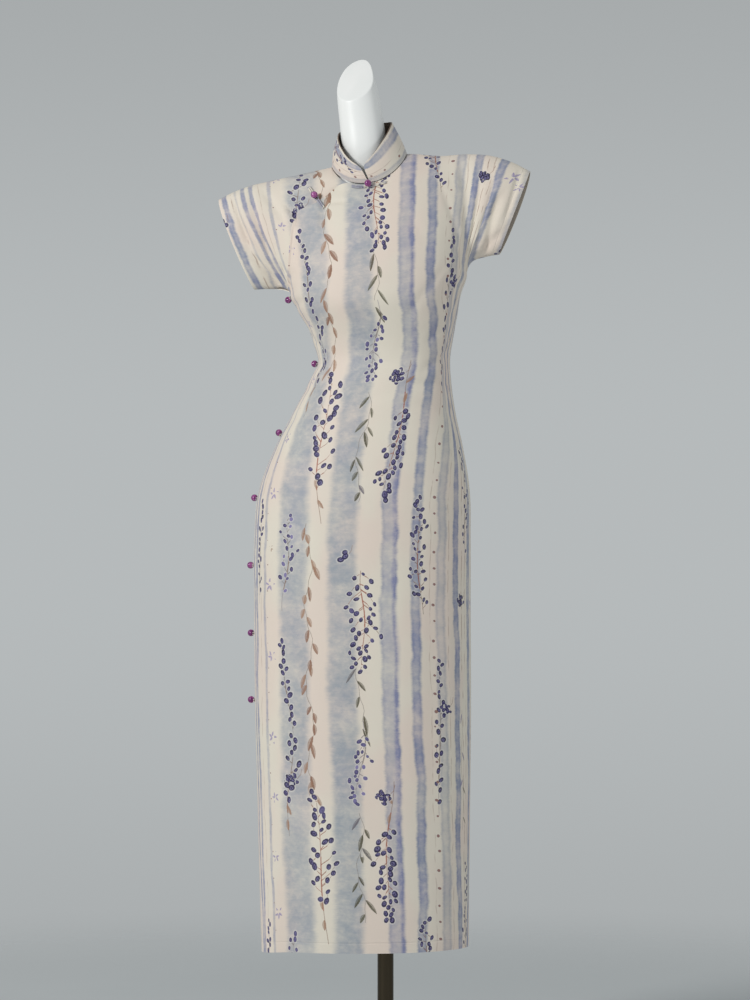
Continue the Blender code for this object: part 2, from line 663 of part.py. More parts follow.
def make_form(finish):
    """The torso and neck as one smooth loft, cut off at a slant across the neck."""
    sides = 24
    body = bmesh.new()
    rings = []
    heights = [row[0] for row in FORM]
    dense = sorted({*heights, *np.arange(800, 1400, 60.0)})
    for z in dense:
        mid_x, half, front, behind, tilt = smooth(FORM, [z])[0]
        ring = []
        for k in range(sides):
            angle = 2 * pi * k / sides
            power = 2 / ROUNDNESS
            x = half * np.sign(sin(angle)) * abs(sin(angle)) ** power
            y = -(behind - front) / 2 * np.sign(cos(angle)) * abs(cos(angle)) ** power
            turn = radians(float(smooth(RINGS, [min(z, BUST_Z)])[0][4]))
            wx, wy = x * cos(turn) - y * sin(turn), x * sin(turn) + y * cos(turn)
            place = Vector((mid_x + wx, (front + behind) / 2 + wy, z + tilt * wx)) / METRE
            ring.append(body.verts.new(place))
        rings.append(ring)
    for low, high in zip(rings, rings[1:]):
        for k in range(sides):
            body.faces.new((low[k], low[k - 1], high[k - 1], high[k]))
    body.faces.new(rings[0])
    body.faces.new(list(reversed(rings[-1])))
    bmesh.ops.recalc_face_normals(body, faces=body.faces)
    cut = bmesh.ops.bisect_plane(
        body,
        geom=body.verts[:] + body.edges[:] + body.faces[:],
        plane_co=Vector(NECK_CUT) / METRE,
        plane_no=Vector(NECK_CUT_NORMAL),
        clear_outer=True,
    )
    rim = [e for e in cut["geom_cut"] if isinstance(e, bmesh.types.BMEdge)]
    bmesh.ops.edgeloop_fill(body, edges=rim)
    bmesh.ops.recalc_face_normals(body, faces=body.faces)
    mesh = bpy.data.meshes.new("dress_form")
    body.to_mesh(mesh)
    body.free()
    return link(bpy.data.objects.new("dress_form", mesh), finish)


def cylinder(name, radius, low, high, sides, finish, edge=0.0):
    """An upright cylinder on the pole's axis, with its rims bevelled if edge is given."""
    bpy.ops.mesh.primitive_cylinder_add(
        vertices=sides,
        radius=radius / METRE,
        depth=(high - low) / METRE,
        location=(0, 0, (low + high) / 2 / METRE),
    )
    obj = bpy.context.object
    obj.name = obj.data.name = name
    for collection in list(obj.users_collection):
        collection.objects.unlink(obj)
    if edge:
        bevel = obj.modifiers.new("rim", "BEVEL")
        bevel.width = edge / METRE
        bevel.segments = 1
        bevel.limit_method = "ANGLE"
    return link(obj, finish)


def main():
    for obj in list(bpy.data.objects):
        bpy.data.objects.remove(obj)
    made = bpy.data.collections.new("cheongsam_on_form")
    bpy.context.scene.collection.children.link(made)

    printed = material("printed_cloth", (0.72, 0.65, 0.56), 0.75)
    glazed = material("button_glaze", (0.23, 0.05, 0.20), 0.2)
    white = material("form_shell", (0.86, 0.87, 0.86), 0.45)
    steel = material("stand_metal", (0.10, 0.09, 0.08), 0.2, 1.0)

    cloth_pieces = [make_front(printed), make_back(printed), make_underlap(printed), make_collar(printed)]
    bpy.context.view_layer.update()
    graph = bpy.context.evaluated_depsgraph_get()
    panels = [BVHTree.FromObject(piece, graph) for piece in cloth_pieces]
    for name, *place in FROGS:
        frog(name, *place, panels, (printed, glazed))
    for number, z in enumerate(SIDE_FROG_Z, 1):
        place = (True, SIDE_FROG_F, level(z), -1, 0.0, 0.0, LIFT)
        frog(f"frog_side_{number}", *place, panels, (printed, glazed))

    make_form(white)
    cylinder("base_plate", BASE_RADIUS, 0, BASE_THICK, 48, steel, BASE_EDGE)
    cylinder("pole", POLE_RADIUS, BASE_THICK + SEAM, FORM[0][0] - SEAM, 28, steel)


if __name__ == "__main__":
    main()
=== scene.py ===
"""Looks for the cheongsam dress on its dress form: fine cloth with its folds, the watercolour print, the
frog fasteners, the smooth form and the polished stand.

Lengths in the tables are millimetres, with +Z up, the front facing -Y and the wearer's left at +X.

Cloth coordinates: f runs across a panel (0 is the centre line, 1 and -1 the side seams, past them the
sleeves) and d runs down it (0 is the shoulder line, 1 the level of the armpits, and below that each unit is
DROP millimetres). Print coordinates u and v are millimetres on the flat cloth: u from the centre line
towards the wearer's left, v down from the level of the armpits.
"""

from math import atan2, ceil, cos, hypot, pi, radians, sin, tan

import bmesh
import bpy
import numpy as np
from mathutils import Matrix, Vector
from mathutils.bvhtree import BVHTree


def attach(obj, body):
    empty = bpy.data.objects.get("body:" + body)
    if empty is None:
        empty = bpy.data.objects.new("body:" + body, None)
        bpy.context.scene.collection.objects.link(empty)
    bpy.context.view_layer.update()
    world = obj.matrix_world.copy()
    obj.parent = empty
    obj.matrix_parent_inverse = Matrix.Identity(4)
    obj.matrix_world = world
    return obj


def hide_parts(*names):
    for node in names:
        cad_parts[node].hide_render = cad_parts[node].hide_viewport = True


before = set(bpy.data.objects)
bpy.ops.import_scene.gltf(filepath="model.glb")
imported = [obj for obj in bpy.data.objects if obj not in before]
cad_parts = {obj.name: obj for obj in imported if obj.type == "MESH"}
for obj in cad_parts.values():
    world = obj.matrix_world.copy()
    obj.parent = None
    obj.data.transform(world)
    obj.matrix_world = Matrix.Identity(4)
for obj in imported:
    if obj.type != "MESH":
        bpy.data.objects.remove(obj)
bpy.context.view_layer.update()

METRE = 1000.0

# ---------------------------------------------------------------- cloth and seams
CLOTH = 1.2
COLLAR_CLOTH = 2.2
SEAM = 0.4
LAP = CLOTH + 1.5

# ---------------------------------------------------------------- the body of the dress
BUST_Z, HEM_Z = 1272.0, 213.0
DROP = 200.0
BUST_ARC = 203.0
ROUNDNESS = 2.25
RINGS = (
    # z, middle x, half width, front y, back y, yaw in degrees, tilt as rise over run
    (1272, -11, 142, -114, 92, -8, 0.11),
    (1240, -10.5, 130.5, -114, 86, -9, 0.09),
    (1205, -5, 118.5, -103, 77, -10, 0.06),
    (1180, -3.5, 112, -94, 71, -11, 0.04),
    (1150, -2.5, 106, -88, 68, -11, 0.02),
    (1110, -9.5, 115, -90, 76, -10, 0.0),
    (1062, -18.5, 131, -96, 90, -8, 0.0),
    (1012, -26, 149.5, -104, 110, -7, 0.0),
    (940, -34, 169, -111, 126, -6, 0.0),
    (860, -37, 173.5, -113, 131, -5, 0.0),
    (760, -37, 173.5, -112, 127, -5, 0.0),
    (600, -36, 173, -109, 121, -3, 0.0),
    (400, -34, 169, -103, 114, 0, 0.0),
    (213, -32, 165, -97, 108, 3, 0.0),
)

# ---------------------------------------------------------------- shoulders and sleeves
NECK = (-26.4, 2.0)
SHOULDER_YAW = -8.0
NECK_ARC = 60.0
CUFF_F = 258.0 / BUST_ARC
SHOULDER_LINE = (
    # distance on the cloth, wearer's right x and z, wearer's left x and z
    (0, -26.4, 1472, -26.4, 1472),
    (62, -88, 1458, 36, 1478),
    (115, -140, 1447, 89, 1474),
    (160, -183, 1438, 133, 1476),
    (203, -222, 1429, 176, 1471),
    (230, -246, 1420, 204, 1461),
    (258, -268, 1409, 230, 1447),
)
UNDERARM = (
    # distance on the cloth past the armpit, wearer's right x and z, wearer's left x and z
    (13, -166, 1261, 138, 1303),
    (30, -184, 1264, 158, 1311),
    (55, -211, 1264, 181, 1315),
)
SLEEVE_BULGE = ((110, 14, 10), (160, 30, 24), (203, 38, 32), (258, 27, 24))  # distance, front, back
FRONT_SLOPE, BACK_SLOPE = 1.6, 2.8
ARMPIT_BLEND = 6.0
SLEEVE_START, SLEEVE_FULL = 105.0, 225.0

# ---------------------------------------------------------------- openings of the panels
NECK_FRONT, NECK_BACK = 0.31, 0.205
PLACKET = (
    # distance from the centre front on the cloth, d of the front panel's curved edge
    (0, 0.315),
    (20, 0.298),
    (38, 0.275),
    (48, 0.275),
    (60, 0.308),
    (72, 0.352),
    (85, 0.38),
    (102, 0.39),
    (120, 0.42),
    (129, 0.49),
    (137, 0.62),
    (150, 0.80),
    (175, 0.93),
    (203, 0.98),
)
LAP_DEPTH = 0.12
LAP_LEVELS_OUT = (-1.2, -1.03)
SLIT_TOP = 585.0
FRONT_SWING, BACK_FLARE = 40.0, -2.0
LEFT_SWING = 8.0
BACK_FOLLOWS = 0.35
CORNER_DROP = 3.0

# Soft folds and creases, as troughs (negative) and ridges between two points of the cloth.
FOLDS = (
    # back, f and d of one end, f and d of the other, half width in mm, height in mm
    (False, 0.74, 0.05, 0.90, 0.95, 11, -4.5),
    (False, 0.90, 0.12, 0.98, 0.98, 9, -3.5),
    (False, 1.13, 0.35, 1.04, 1.00, 9, -4.0),
    (False, 1.22, 0.70, 1.10, 1.00, 8, -3.0),
    (False, -1.17, 0.25, -1.06, 1.00, 11, -5.0),
    (False, -1.05, 0.10, -0.99, 0.90, 10, -3.0),
    (False, -0.86, 0.14, -0.70, 0.48, 7, -2.5),
    (True, 0.85, 0.10, 0.93, 0.98, 12, -4.5),
    (True, 1.12, 0.30, 1.03, 1.00, 10, -4.0),
    (True, -0.85, 0.10, -0.93, 0.98, 12, -4.5),
    (True, -1.14, 0.30, -1.04, 1.00, 10, -4.0),
    (True, -0.70, 1.55, 0.62, 1.75, 14, -2.5),
    (True, -0.60, 1.90, 0.70, 1.80, 14, -2.0),
)
# Finer creases that only the looks carry, in the same columns.
CREASES = (
    (False, 0.55, 0.30, 0.80, 0.85, 6, -1.7),
    (False, 0.62, 0.95, 0.30, 1.35, 7, -1.3),
    (False, 0.93, 1.25, 0.55, 1.50, 6, -2.0),
    (False, 0.96, 1.55, 0.50, 1.72, 7, -2.3),
    (False, 0.92, 1.80, 0.35, 1.83, 7, -1.9),
    (False, 0.88, 2.05, 0.30, 1.98, 9, -1.4),
    (False, -0.95, 1.30, -0.60, 1.55, 6, -1.7),
    (False, -0.95, 1.62, -0.40, 1.70, 7, -2.2),
    (False, -0.93, 1.88, -0.35, 1.80, 7, -1.7),
    (False, -0.88, 2.15, -0.40, 1.98, 9, -1.3),
    (False, -0.20, 1.60, 0.25, 1.68, 8, -0.7),
    (False, -0.15, 1.95, 0.30, 1.88, 9, -0.7),
    (False, 0.20, 0.40, 0.45, 0.80, 8, -0.7),
    (False, -0.30, 0.55, -0.55, 0.95, 8, -1.2),
    (False, 0.55, 3.00, 0.48, 5.60, 18, -1.7),
    (False, -0.52, 3.20, -0.47, 5.80, 19, -1.9),
    (False, 0.05, 3.60, 0.02, 6.20, 21, -1.2),
    (False, -0.78, 2.80, -0.72, 4.60, 13, -1.3),
    (False, 0.80, 2.60, 0.78, 4.90, 14, -1.4),
    (True, 0.30, 0.45, 0.62, 0.95, 8, -1.4),
    (True, -0.28, 0.50, -0.60, 1.00, 8, -1.6),
    (True, 0.92, 1.35, 0.45, 1.55, 7, -1.9),
    (True, 0.90, 2.05, 0.40, 1.95, 8, -1.6),
    (True, -0.92, 1.30, -0.50, 1.52, 7, -1.7),
    (True, -0.90, 2.10, -0.35, 2.00, 9, -1.7),
    (True, 0.02, 1.50, 0.00, 1.95, 14, -2.6),
    (True, 0.50, 2.90, 0.45, 5.20, 19, -1.7),
    (True, -0.46, 3.10, -0.52, 5.70, 21, -2.0),
    (True, 0.05, 3.40, -0.02, 6.00, 19, -1.4),
    (True, -1.04, 0.20, -1.10, 0.70, 5, -1.7),
    (True, 1.04, 0.25, 1.12, 0.75, 5, -1.9),
    (False, 0.93, 0.40, 0.94, 1.10, 5, -2.0),
    (False, 1.04, 0.25, 1.04, 0.68, 4, -4.0),
    (False, 1.11, 0.40, 1.16, 0.98, 5, -4.4),
    (False, 1.20, 0.10, 1.22, 0.60, 4, -3.2),
    (False, 0.93, 1.02, 0.68, 0.76, 5, -1.8),
    (False, 0.95, 1.12, 0.62, 1.06, 6, -1.7),
    (False, 0.70, 0.04, 0.76, 0.36, 5, -1.5),
    (False, -1.19, 0.58, -1.07, 0.99, 5, -5.0),
    (False, -1.06, 0.70, -1.00, 0.97, 4, -3.6),
    (False, -1.12, 0.12, -1.16, 0.60, 5, -4.2),
    (False, -0.98, 0.10, -1.01, 0.66, 5, -4.0),
    (False, -0.94, 1.04, -0.70, 0.84, 5, -1.9),
    (False, -0.95, 1.14, -0.60, 1.10, 6, -1.6),
    (False, -0.70, 0.28, -0.58, 0.50, 4, -5.0),
    (False, -0.37, 0.40, -0.39, 0.60, 5, -3.6),
    (False, -0.35, 0.39, -0.17, 0.42, 4, -2.4),
    (False, -0.36, 0.35, -0.22, 0.27, 4, -1.8),
    (False, -0.90, 0.76, -0.79, 1.02, 4, -3.4),
    (False, -0.94, 0.80, -0.85, 1.06, 4, -3.2),
    (False, -0.58, 0.52, -0.66, 0.80, 5, -1.8),
    (True, 1.02, 0.90, 0.80, 0.62, 5, -1.8),
    (True, -1.02, 0.92, -0.82, 0.66, 5, -1.9),
    (True, 1.17, 0.50, 1.10, 0.98, 4, -3.2),
    (True, -1.16, 0.55, -1.08, 0.97, 4, -3.4),
)

# ---------------------------------------------------------------- collar
COLLAR_TOP = (
    # share of the way from the centre front to the centre back, height of the top edge
    (0.0, 1457),
    (0.12, 1466),
    (0.30, 1492),
    (0.5, 1517),
    (0.75, 1526),
    (1.0, 1530),
)
COLLAR_TOP_MIDDLE = (-33.0, -7.0)
COLLAR_TOP_HALF = (43.5, 51.0, 48.0)
COLLAR_ROLL = 0.17
COLLAR_RISE = 1.4
COLLAR_CORNER = 11.0
COLLAR_RUN = 180.0
COLLAR_BOW = 2.0
COLLAR_PART = (0.9, 3.0)

# ---------------------------------------------------------------- frog fasteners
CORD = 1.2
BUTTON = 5.6
STEM = 1.1
STEM_HEIGHT, SIDE_STEM_HEIGHT = 2.7, 2.9
LIFT = 0.6
ARM = 28.0
SIDE_FROG_Z = (1264, 1143, 1029, 927, 820, 711, 604)
SIDE_FROG_F = -0.935
FROGS = (
    # name, back, f and d of the ball, side of the loop's arm, slope in degrees, rise of the ends, lift
    ("frog_collar", False, 0.0, 0.342, 1, 0.0, 5.0, 0.6),
    ("frog_chest", False, -0.425, 0.325, 1, 64.0, 0.0, 1.4),
)

# ---------------------------------------------------------------- dress form and stand
FORM = (
    # z, middle x, half width, front y, back y, tilt
    (700, -33, 138, -92, 108, 0.0),
    (712, -36, 158, -102, 117, 0.0),
    (760, -37, 166, -105, 120, 0.0),
    (860, -37, 166, -105.5, 123.5, 0.0),
    (940, -34, 161.5, -103.5, 118.5, 0.0),
    (1012, -26, 142, -96.5, 102.5, 0.0),
    (1062, -18.5, 123.5, -88.5, 82.5, 0.0),
    (1110, -9.5, 108, -83, 69, 0.0),
    (1150, -2.5, 98.5, -81, 61, 0.02),
    (1205, -5, 110.5, -91, 68, 0.06),
    (1245, -10.5, 121.5, -104, 78, 0.09),
    (1290, -13, 128, -106, 84, 0.10),
    (1335, -17, 134, -88, 76, 0.10),
    (1380, -22, 142, -64, 66, 0.09),
    (1413, -24, 128, -42, 54, 0.09),
    (1430, -25, 96, -37, 47, 0.11),
    (1442, -26, 58, -38, 42, 0.13),
    (1460, -28, 41, -38, 38, 0.13),
    (1490, -33, 36.5, -39, 35, 0.12),
    (1530, -38.5, 34.5, -38, 31, 0.12),
    (1573, -44, 33, -38, 28, 0.12),
    (1613, -49.5, 27.5, -36, 25, 0.12),
    (1660, -51, 25, -35, 24, 0.12),
)
NECK_CUT = (-50, -5, 1597)
NECK_CUT_NORMAL = (-0.33, -0.70, 0.63)
NECK_TURNS_FROM = 1480.0  # above this height the form's rings turn towards the cut
POLE_RADIUS = 13.0
BASE_RADIUS, BASE_THICK, BASE_EDGE = 180.0, 9.0, 2.0

NECK_COLUMNS = (0.155, 0.205, 0.245, 0.278)
PLACKET_COLUMNS = (-0.74, -0.675, -0.63)
SAMPLES = 49


# ================================================================ the cloth's surface


def smooth(table, x, level_start=True):
    """The table's columns at each x, on a smooth curve through its rows. It may start level."""
    rows = np.asarray(table, float)
    order = np.argsort(rows[:, 0])
    rows = rows[order]
    knots, values = rows[:, 0], rows[:, 1:]
    slopes = np.gradient(values, knots, axis=0)
    if level_start:
        slopes[0 if order[0] == 0 else -1] = 0.0
    x = np.clip(np.atleast_1d(np.asarray(x, float)), knots[0], knots[-1])
    i = np.clip(np.searchsorted(knots, x, side="right") - 1, 0, len(knots) - 2)
    span = (knots[i + 1] - knots[i])[:, None]
    t = ((x - knots[i])[:, None]) / span
    return (
        values[i] * (1 + 2 * t) * (1 - t) ** 2
        + slopes[i] * span * t * (1 - t) ** 2
        + values[i + 1] * t * t * (3 - 2 * t)
        + slopes[i + 1] * span * t * t * (t - 1)
    )


def ease(x, low, high):
    """0 before low, 1 after high, and a smooth rise between them."""
    t = np.clip((x - low) / (high - low), 0, 1)
    return t * t * (3 - 2 * t)


def along(lines, share):
    """The point at a share of each line's length. lines is (n, points, 3) and share is (n,)."""
    steps = np.linalg.norm(np.diff(lines, axis=1), axis=2)
    run = np.concatenate([np.zeros((len(lines), 1)), np.cumsum(steps, axis=1)], axis=1)
    wanted = np.clip(share, 0, 1) * run[:, -1]
    i = np.clip((run[:, 1:] < wanted[:, None]).sum(axis=1), 0, lines.shape[1] - 2)
    row = np.arange(len(lines))
    t = (wanted - run[row, i]) / np.maximum(run[row, i + 1] - run[row, i], 1e-9)
    return lines[row, i] * (1 - t)[:, None] + lines[row, i + 1] * t[:, None]


def quarter_line(half, reach):
    """A quarter of each ring, from the middle of the front to the side."""
    angle = np.linspace(0, pi / 2, SAMPLES)
    power = 2 / ROUNDNESS
    across = half[:, None] * np.sin(angle) ** power
    ahead = -reach[:, None] * np.maximum(np.cos(angle), 0) ** power
    return np.stack([across, ahead, np.zeros_like(across)], axis=2)


def ring_point(back, f, z):
    """The cloth below the armpits: the point at share f of the ring at height z."""
    mid_x, half, front, behind, yaw, tilt = smooth(RINGS, z).T
    mid_y = (front + behind) / 2
    local = along(quarter_line(half, (behind - front) / 2), np.abs(f))
    x = local[:, 0] * np.where(f < 0, -1, 1)
    y = np.where(back, -local[:, 1], local[:, 1])
    turn = np.radians(yaw)
    world_x = x * np.cos(turn) - y * np.sin(turn)
    world_y = x * np.sin(turn) + y * np.cos(turn)
    return np.stack([mid_x + world_x, mid_y + world_y, z + tilt * world_x], axis=1)


def shoulder_point(f):
    """The point of the shoulder line at f."""
    right_x, right_z, left_x, left_z = smooth(SHOULDER_LINE, np.abs(f) * BUST_ARC, False).T
    x = np.where(f < 0, right_x, left_x)
    z = np.where(f < 0, right_z, left_z)
    return np.stack([x, NECK[1] + (x - NECK[0]) * tan(radians(SHOULDER_YAW)), z], axis=1)


def underarm_point(f):
    """The point of the underarm seam at f, past the side seam."""
    armpit = ring_point(np.zeros(len(f), bool), np.where(f < 0, -1.0, 1.0), np.full(len(f), BUST_Z))
    cuff = shoulder_point(np.where(f < 0, -CUFF_F, CUFF_F))
    past = (np.abs(f) - 1) * BUST_ARC
    made = np.empty_like(armpit)
    for side, columns_of_side in ((f < 0, (1, 2)), (f >= 0, (3, 4))):
        if not side.any():
            continue
        first = armpit[side][0]
        rows = [(0, first[0], first[2])]
        rows += [(r[0], r[columns_of_side[0]], r[columns_of_side[1]]) for r in UNDERARM]
        x, z = smooth(rows, past[side], False).T
        share = past[side] / UNDERARM[-1][0]
        y = armpit[side, 1] * (1 - share) + cuff[side, 1] * share
        made[side] = np.stack([x, y, z], axis=1)
    return made


def upper_point(back, f, d):
    """The cloth above the armpits: from the shoulder line at d 0 to the bust or underarm seam at 1."""
    top = shoulder_point(f)
    low = ring_point(back, np.clip(f, -1, 1), np.full(len(f), BUST_Z))
    past = np.abs(f) > 1
    if past.any():
        low[past] = underarm_point(f[past])
    u = np.abs(f) * BUST_ARC
    sleeve = ease(u, SLEEVE_START, SLEEVE_FULL)[:, None]
    front_bulge, back_bulge = smooth(SLEEVE_BULGE, u).T
    bulge = np.where(back, back_bulge, -front_bulge)[:, None]
    slope = np.where(back, BACK_SLOPE, FRONT_SLOPE)[:, None]
    s = np.linspace(0, 1, SAMPLES)[None, :]
    fall = 1 - np.cos(pi / 2 * s)
    reach = (1 - (1 - fall) ** slope) ** (1 / slope)
    chest_z, sleeve_z = fall, (1 - np.cos(pi * s)) / 2
    down = chest_z * (1 - sleeve) + sleeve_z * sleeve
    out = reach * (1 - sleeve) + s * sleeve
    span = (low - top)[:, None, :]
    line = np.empty((len(f), SAMPLES, 3))
    swell = bulge * sleeve * np.sin(pi * s)
    line[:, :, 0] = top[:, None, 0] + span[:, :, 0] * down**1.15 - swell * sin(radians(SHOULDER_YAW))
    line[:, :, 1] = top[:, None, 1] + span[:, :, 1] * out + swell * cos(radians(SHOULDER_YAW))
    line[:, :, 2] = top[:, None, 2] + span[:, :, 2] * down
    return along(line, d)


def swing(back, f, z):
    """How far a slit's edges move from the closed ring, towards the hem."""
    opened = ease(SLIT_TOP - z, 0, SLIT_TOP - HEM_Z)
    right, left = ease(-f, 0.5, 1.0) * opened, ease(f, 0.6, 1.0) * opened
    y = np.where(back, BACK_FOLLOWS * LEFT_SWING * left, -FRONT_SWING * right - LEFT_SWING * left)
    x = np.where(back, -BACK_FLARE * right, 0.0)
    z_move = np.where(back, 0.0, -CORNER_DROP * right)
    return np.stack([x, y, z_move], axis=1)


def bare(back, f, d):
    """The cloth's surface without its folds. Past an edge it runs on over the seam."""
    back, f, d = (np.array(a) for a in np.broadcast_arrays(back, np.asarray(f, float), d))
    back, f, d = back.ravel().astype(bool), f.ravel(), d.ravel().astype(float)
    over = d < 0
    back[over] = ~back[over]
    d[over] = -d[over]
    round_side = (np.abs(f) > 1) & (d > 1) & (np.abs(f) - 1 < d - 1)
    back[round_side] = ~back[round_side]
    f[round_side] = np.sign(f[round_side]) * (2 - np.abs(f[round_side]))
    under_arm = (np.abs(f) > 1) & (d > 1)
    back[under_arm] = ~back[under_arm]
    d[under_arm] = 2 - d[under_arm]
    points = np.empty((len(f), 3))
    low = d > 1
    if low.any():
        z = BUST_Z - (d[low] - 1) * DROP
        points[low] = ring_point(back[low], f[low], z) + swing(back[low], f[low], z)
    if (~low).any():
        points[~low] = upper_point(back[~low], f[~low], d[~low])
    return points


def fold_height(back, f, d):
    """The height of the soft folds at a point of the cloth."""
    height = np.zeros(np.shape(f))
    for on_back, f0, d0, f1, d1, half, rise in FOLDS + CREASES:
        if on_back != back:
            continue
        run = np.array([(f1 - f0) * BUST_ARC, (d1 - d0) * DROP])
        du, dv = (f - f0) * BUST_ARC, (d - d0) * DROP
        t = (du * run[0] + dv * run[1]) / (run @ run)
        off = np.hypot(du - np.clip(t, 0, 1) * run[0], dv - np.clip(t, 0, 1) * run[1])
        ends = ease(t, -0.15, 0.3) * (1 - ease(t, 0.75, 1.15))
        height += rise * ends * np.exp(-((off / half) ** 2))
    return height


def outward(back, f, d):
    """The way out of the garment at each point."""
    step = 0.012
    f_low, f_high = np.maximum(f - step, -CUFF_F), np.minimum(f + step, CUFF_F)
    across = bare(back, f_high, d) - bare(back, f_low, d)
    down = bare(back, f, np.minimum(d + step, level(HEM_Z))) - bare(back, f, d - step)
    normal = np.cross(down, across) * (-1 if back else 1)
    return normal / np.linalg.norm(normal, axis=1)[:, None]


def cloth(back, f, d, out=0.0):
    """Points of the cloth's outer face, moved out by that many millimetres, and the way out there."""
    f, d, out = np.broadcast_arrays(np.asarray(f, float), np.asarray(d, float), out)
    shape = f.shape
    f, d, out = f.ravel(), d.ravel(), out.ravel()
    normal = outward(back, f, d)
    from_seam = np.hypot(np.maximum(1 - np.abs(f), 0) * BUST_ARC, np.maximum(1 - d, 0) * DROP)
    near = from_seam < 4 * ARMPIT_BLEND
    if near.any():
        shared = np.exp(-((from_seam[near] / ARMPIT_BLEND) ** 2))[:, None]
        normal[near] = normal[near] + shared * outward(not back, f[near], d[near])
    normal /= np.linalg.norm(normal, axis=1)[:, None]
    rise = fold_height(back, f, d) + out
    points = bare(back, f, d) + normal * rise[:, None]
    return points.reshape(*shape, 3), normal.reshape(*shape, 3)


def level(z):
    """The d of a height below the armpits."""
    return 1 + (BUST_Z - z) / DROP


def neckline(back, f):
    """How far down the neckline reaches at f, and 0 on the shoulders."""
    depth = NECK_BACK if back else NECK_FRONT
    share = np.clip(np.abs(f) * BUST_ARC / NECK_ARC, 0, 1)
    return depth * np.sqrt(1 - share**2)


def placket(f):
    """The d of the front panel's curved edge, which crosses the wearer's right chest."""
    return smooth(PLACKET, np.abs(f) * BUST_ARC)[:, 0]


# ================================================================ the print

# One repeat of the print, in the print's own flat coordinates (u across, v down, in millimetres).
REPEAT = 660.0
STRIPES = (
    # middle u, half width, strength of the wash, how violet, how dark its edges, how soft its edges
    (-235, 5, 0.98, 0.60, 0.4, 2.5),
    (-214, 1.6, 0.60, 0.4, 0.0, 2.0),
    (-198, 3.2, 0.95, 0.8, 0.2, 2.0),
    (-186, 3.6, 0.82, 0.9, 0.3, 2.0),
    (-155, 3.0, 0.60, 0.6, 0.2, 2.0),
    (-98, 24, 0.78, 0.06, 0.06, 9.0),
    (-16, 21, 0.84, 0.04, 0.08, 8.0),
    (58, 12, 0.66, 0.55, 0.50, 4.0),
    (68, 3.5, 0.30, 0.80, 0.1, 3.5),
    (101, 7.5, 0.90, 0.60, 0.45, 3.5),
    (145, 8, 0.50, 0.10, 0.60, 3.5),
    (176, 6.5, 0.95, 0.60, 0.4, 2.5),
    (217, 6, 0.98, 0.50, 0.4, 2.5),
    (262, 10, 0.60, 0.20, 0.2, 4.0),
)
THIN_LINES = ((-171, 0.4), (125, 0.35), (159, 0.4), (193, 0.8), (203, 0.6), (-222, 0.6))  # u, strength
SPRAYS = (
    # u, v of the root, v of the tip, reach aside, berries, lean, size, bare share of the stem,
    # berry tone, stem tone, seed
    (-50, 384, 146, 27, 30, -14, 1.05, 0.26, 0.22, 0.0, 3),
    (14, -202, -44, 31, 38, 0, 0.86, 0.03, 0.14, 0.0, 5),
    (-118, 522, 372, 19, 20, 10, 0.74, 0.22, 0.42, 0.45, 8),
    (-100, 66, -94, 11, 17, -22, 0.96, 0.08, 0.06, 0.5, 9),
    (-112, 216, 52, 17, 13, 12, 1.08, 0.30, 0.10, 0.35, 12),
    (14, 34, 164, 16, 24, -16, 0.72, 0.16, 0.44, 0.7, 15),
    (60, 128, 350, 20, 34, -14, 0.98, 0.34, 0.10, 0.05, 17),
    (114, 526, 346, 17, 32, -10, 0.80, 0.05, 0.10, 0.20, 21),
    (134, 184, -66, 10, 24, 8, 0.90, 0.05, 0.06, 0.5, 24),
    (207, 446, 262, 14, 24, -4, 0.72, 0.10, 0.04, 0.6, 27),
    (-176, 512, 345, 9, 20, 6, 0.80, 0.06, 0.06, 0.6, 30),
    (250, 140, -20, 12, 14, 4, 0.80, 0.12, 0.20, 0.6, 36),
)
CLUSTERS = (
    # u, v, reach, berries, size, tone, seed
    (42, 152, 12, 12, 0.86, 0.16, 41),
    (189, -154, 10, 9, 0.92, 0.02, 42),
    (-247, 150, 7, 3, 0.98, 0.04, 43),
    (-106, 128, 12, 11, 0.84, 0.14, 44),
    (150, 16, 10, 9, 0.85, 0.10, 45),
    (-14, 436, 9, 3, 1.20, 0.16, 46),
)
VINES = (
    # u, v of the start and end, wave, leaf spacing, leaf length, leaf width, tone, seed
    (-70, -276, 146, 6, 15.5, 24, 13.0, 0.10, 51),
    (4, 178, 350, 6, 15, 26, 9.5, 0.60, 52),
    (10, -50, 34, 5, 20, 29, 9.5, 0.58, 53),
    (188, 20, 210, 3, 40, 15, 6.0, 0.70, 54),
)
FLORETS = (
    # u, v, size, tone
    (-142, 250, 11, 0.88),
    (-140, 338, 13, 0.92),
    (-144, -178, 14, 0.90),
    (-141, -66, 12, 0.93),
    (-143, 62, 13, 0.88),
    (-140, 156, 11, 0.92),
    (236, -146, 15, 0.90),
    (250, -126, 11, 0.93),
    (-236, -60, 12, 0.90),
    (-141, 424, 7, 0.30),
)
DOTS = ((132, 28.0, 5.2), (-150, 41.0, 2.2))  # u, spacing, size
PRINT_LEAN = 0.012  # how far the print runs aside for each millimetre down
PRINT_TOP, PRINT_BOTTOM = -330.0, 1380.0
# Where the sides' shrunk part starts, right and left, as shares of the way out to the seam.
SHRUNK_FROM = (0.5, 0.7)

BERRY, LEAF, STALK = "berry", "leaf", "stalk"
SLOTS = {BERRY: 4, LEAF: 2, STALK: 4}
REACH = {BERRY: (1.5, 1.6), LEAF: (1.03, 1.9), STALK: (1.0, 1.15)}
NO_MARK = 9.0  # the place that a corner has in a slot without a mark, far outside any mark
COLUMN_LENGTH = (
    # f, length of the cloth from the shoulder line to the level of the armpits
    (0.0, 244),
    (0.18, 241),
    (0.36, 233),
    (0.54, 220),
    (0.72, 206),
    (0.9, 204),
    (1.08, 195),
    (1.27, 165),
)


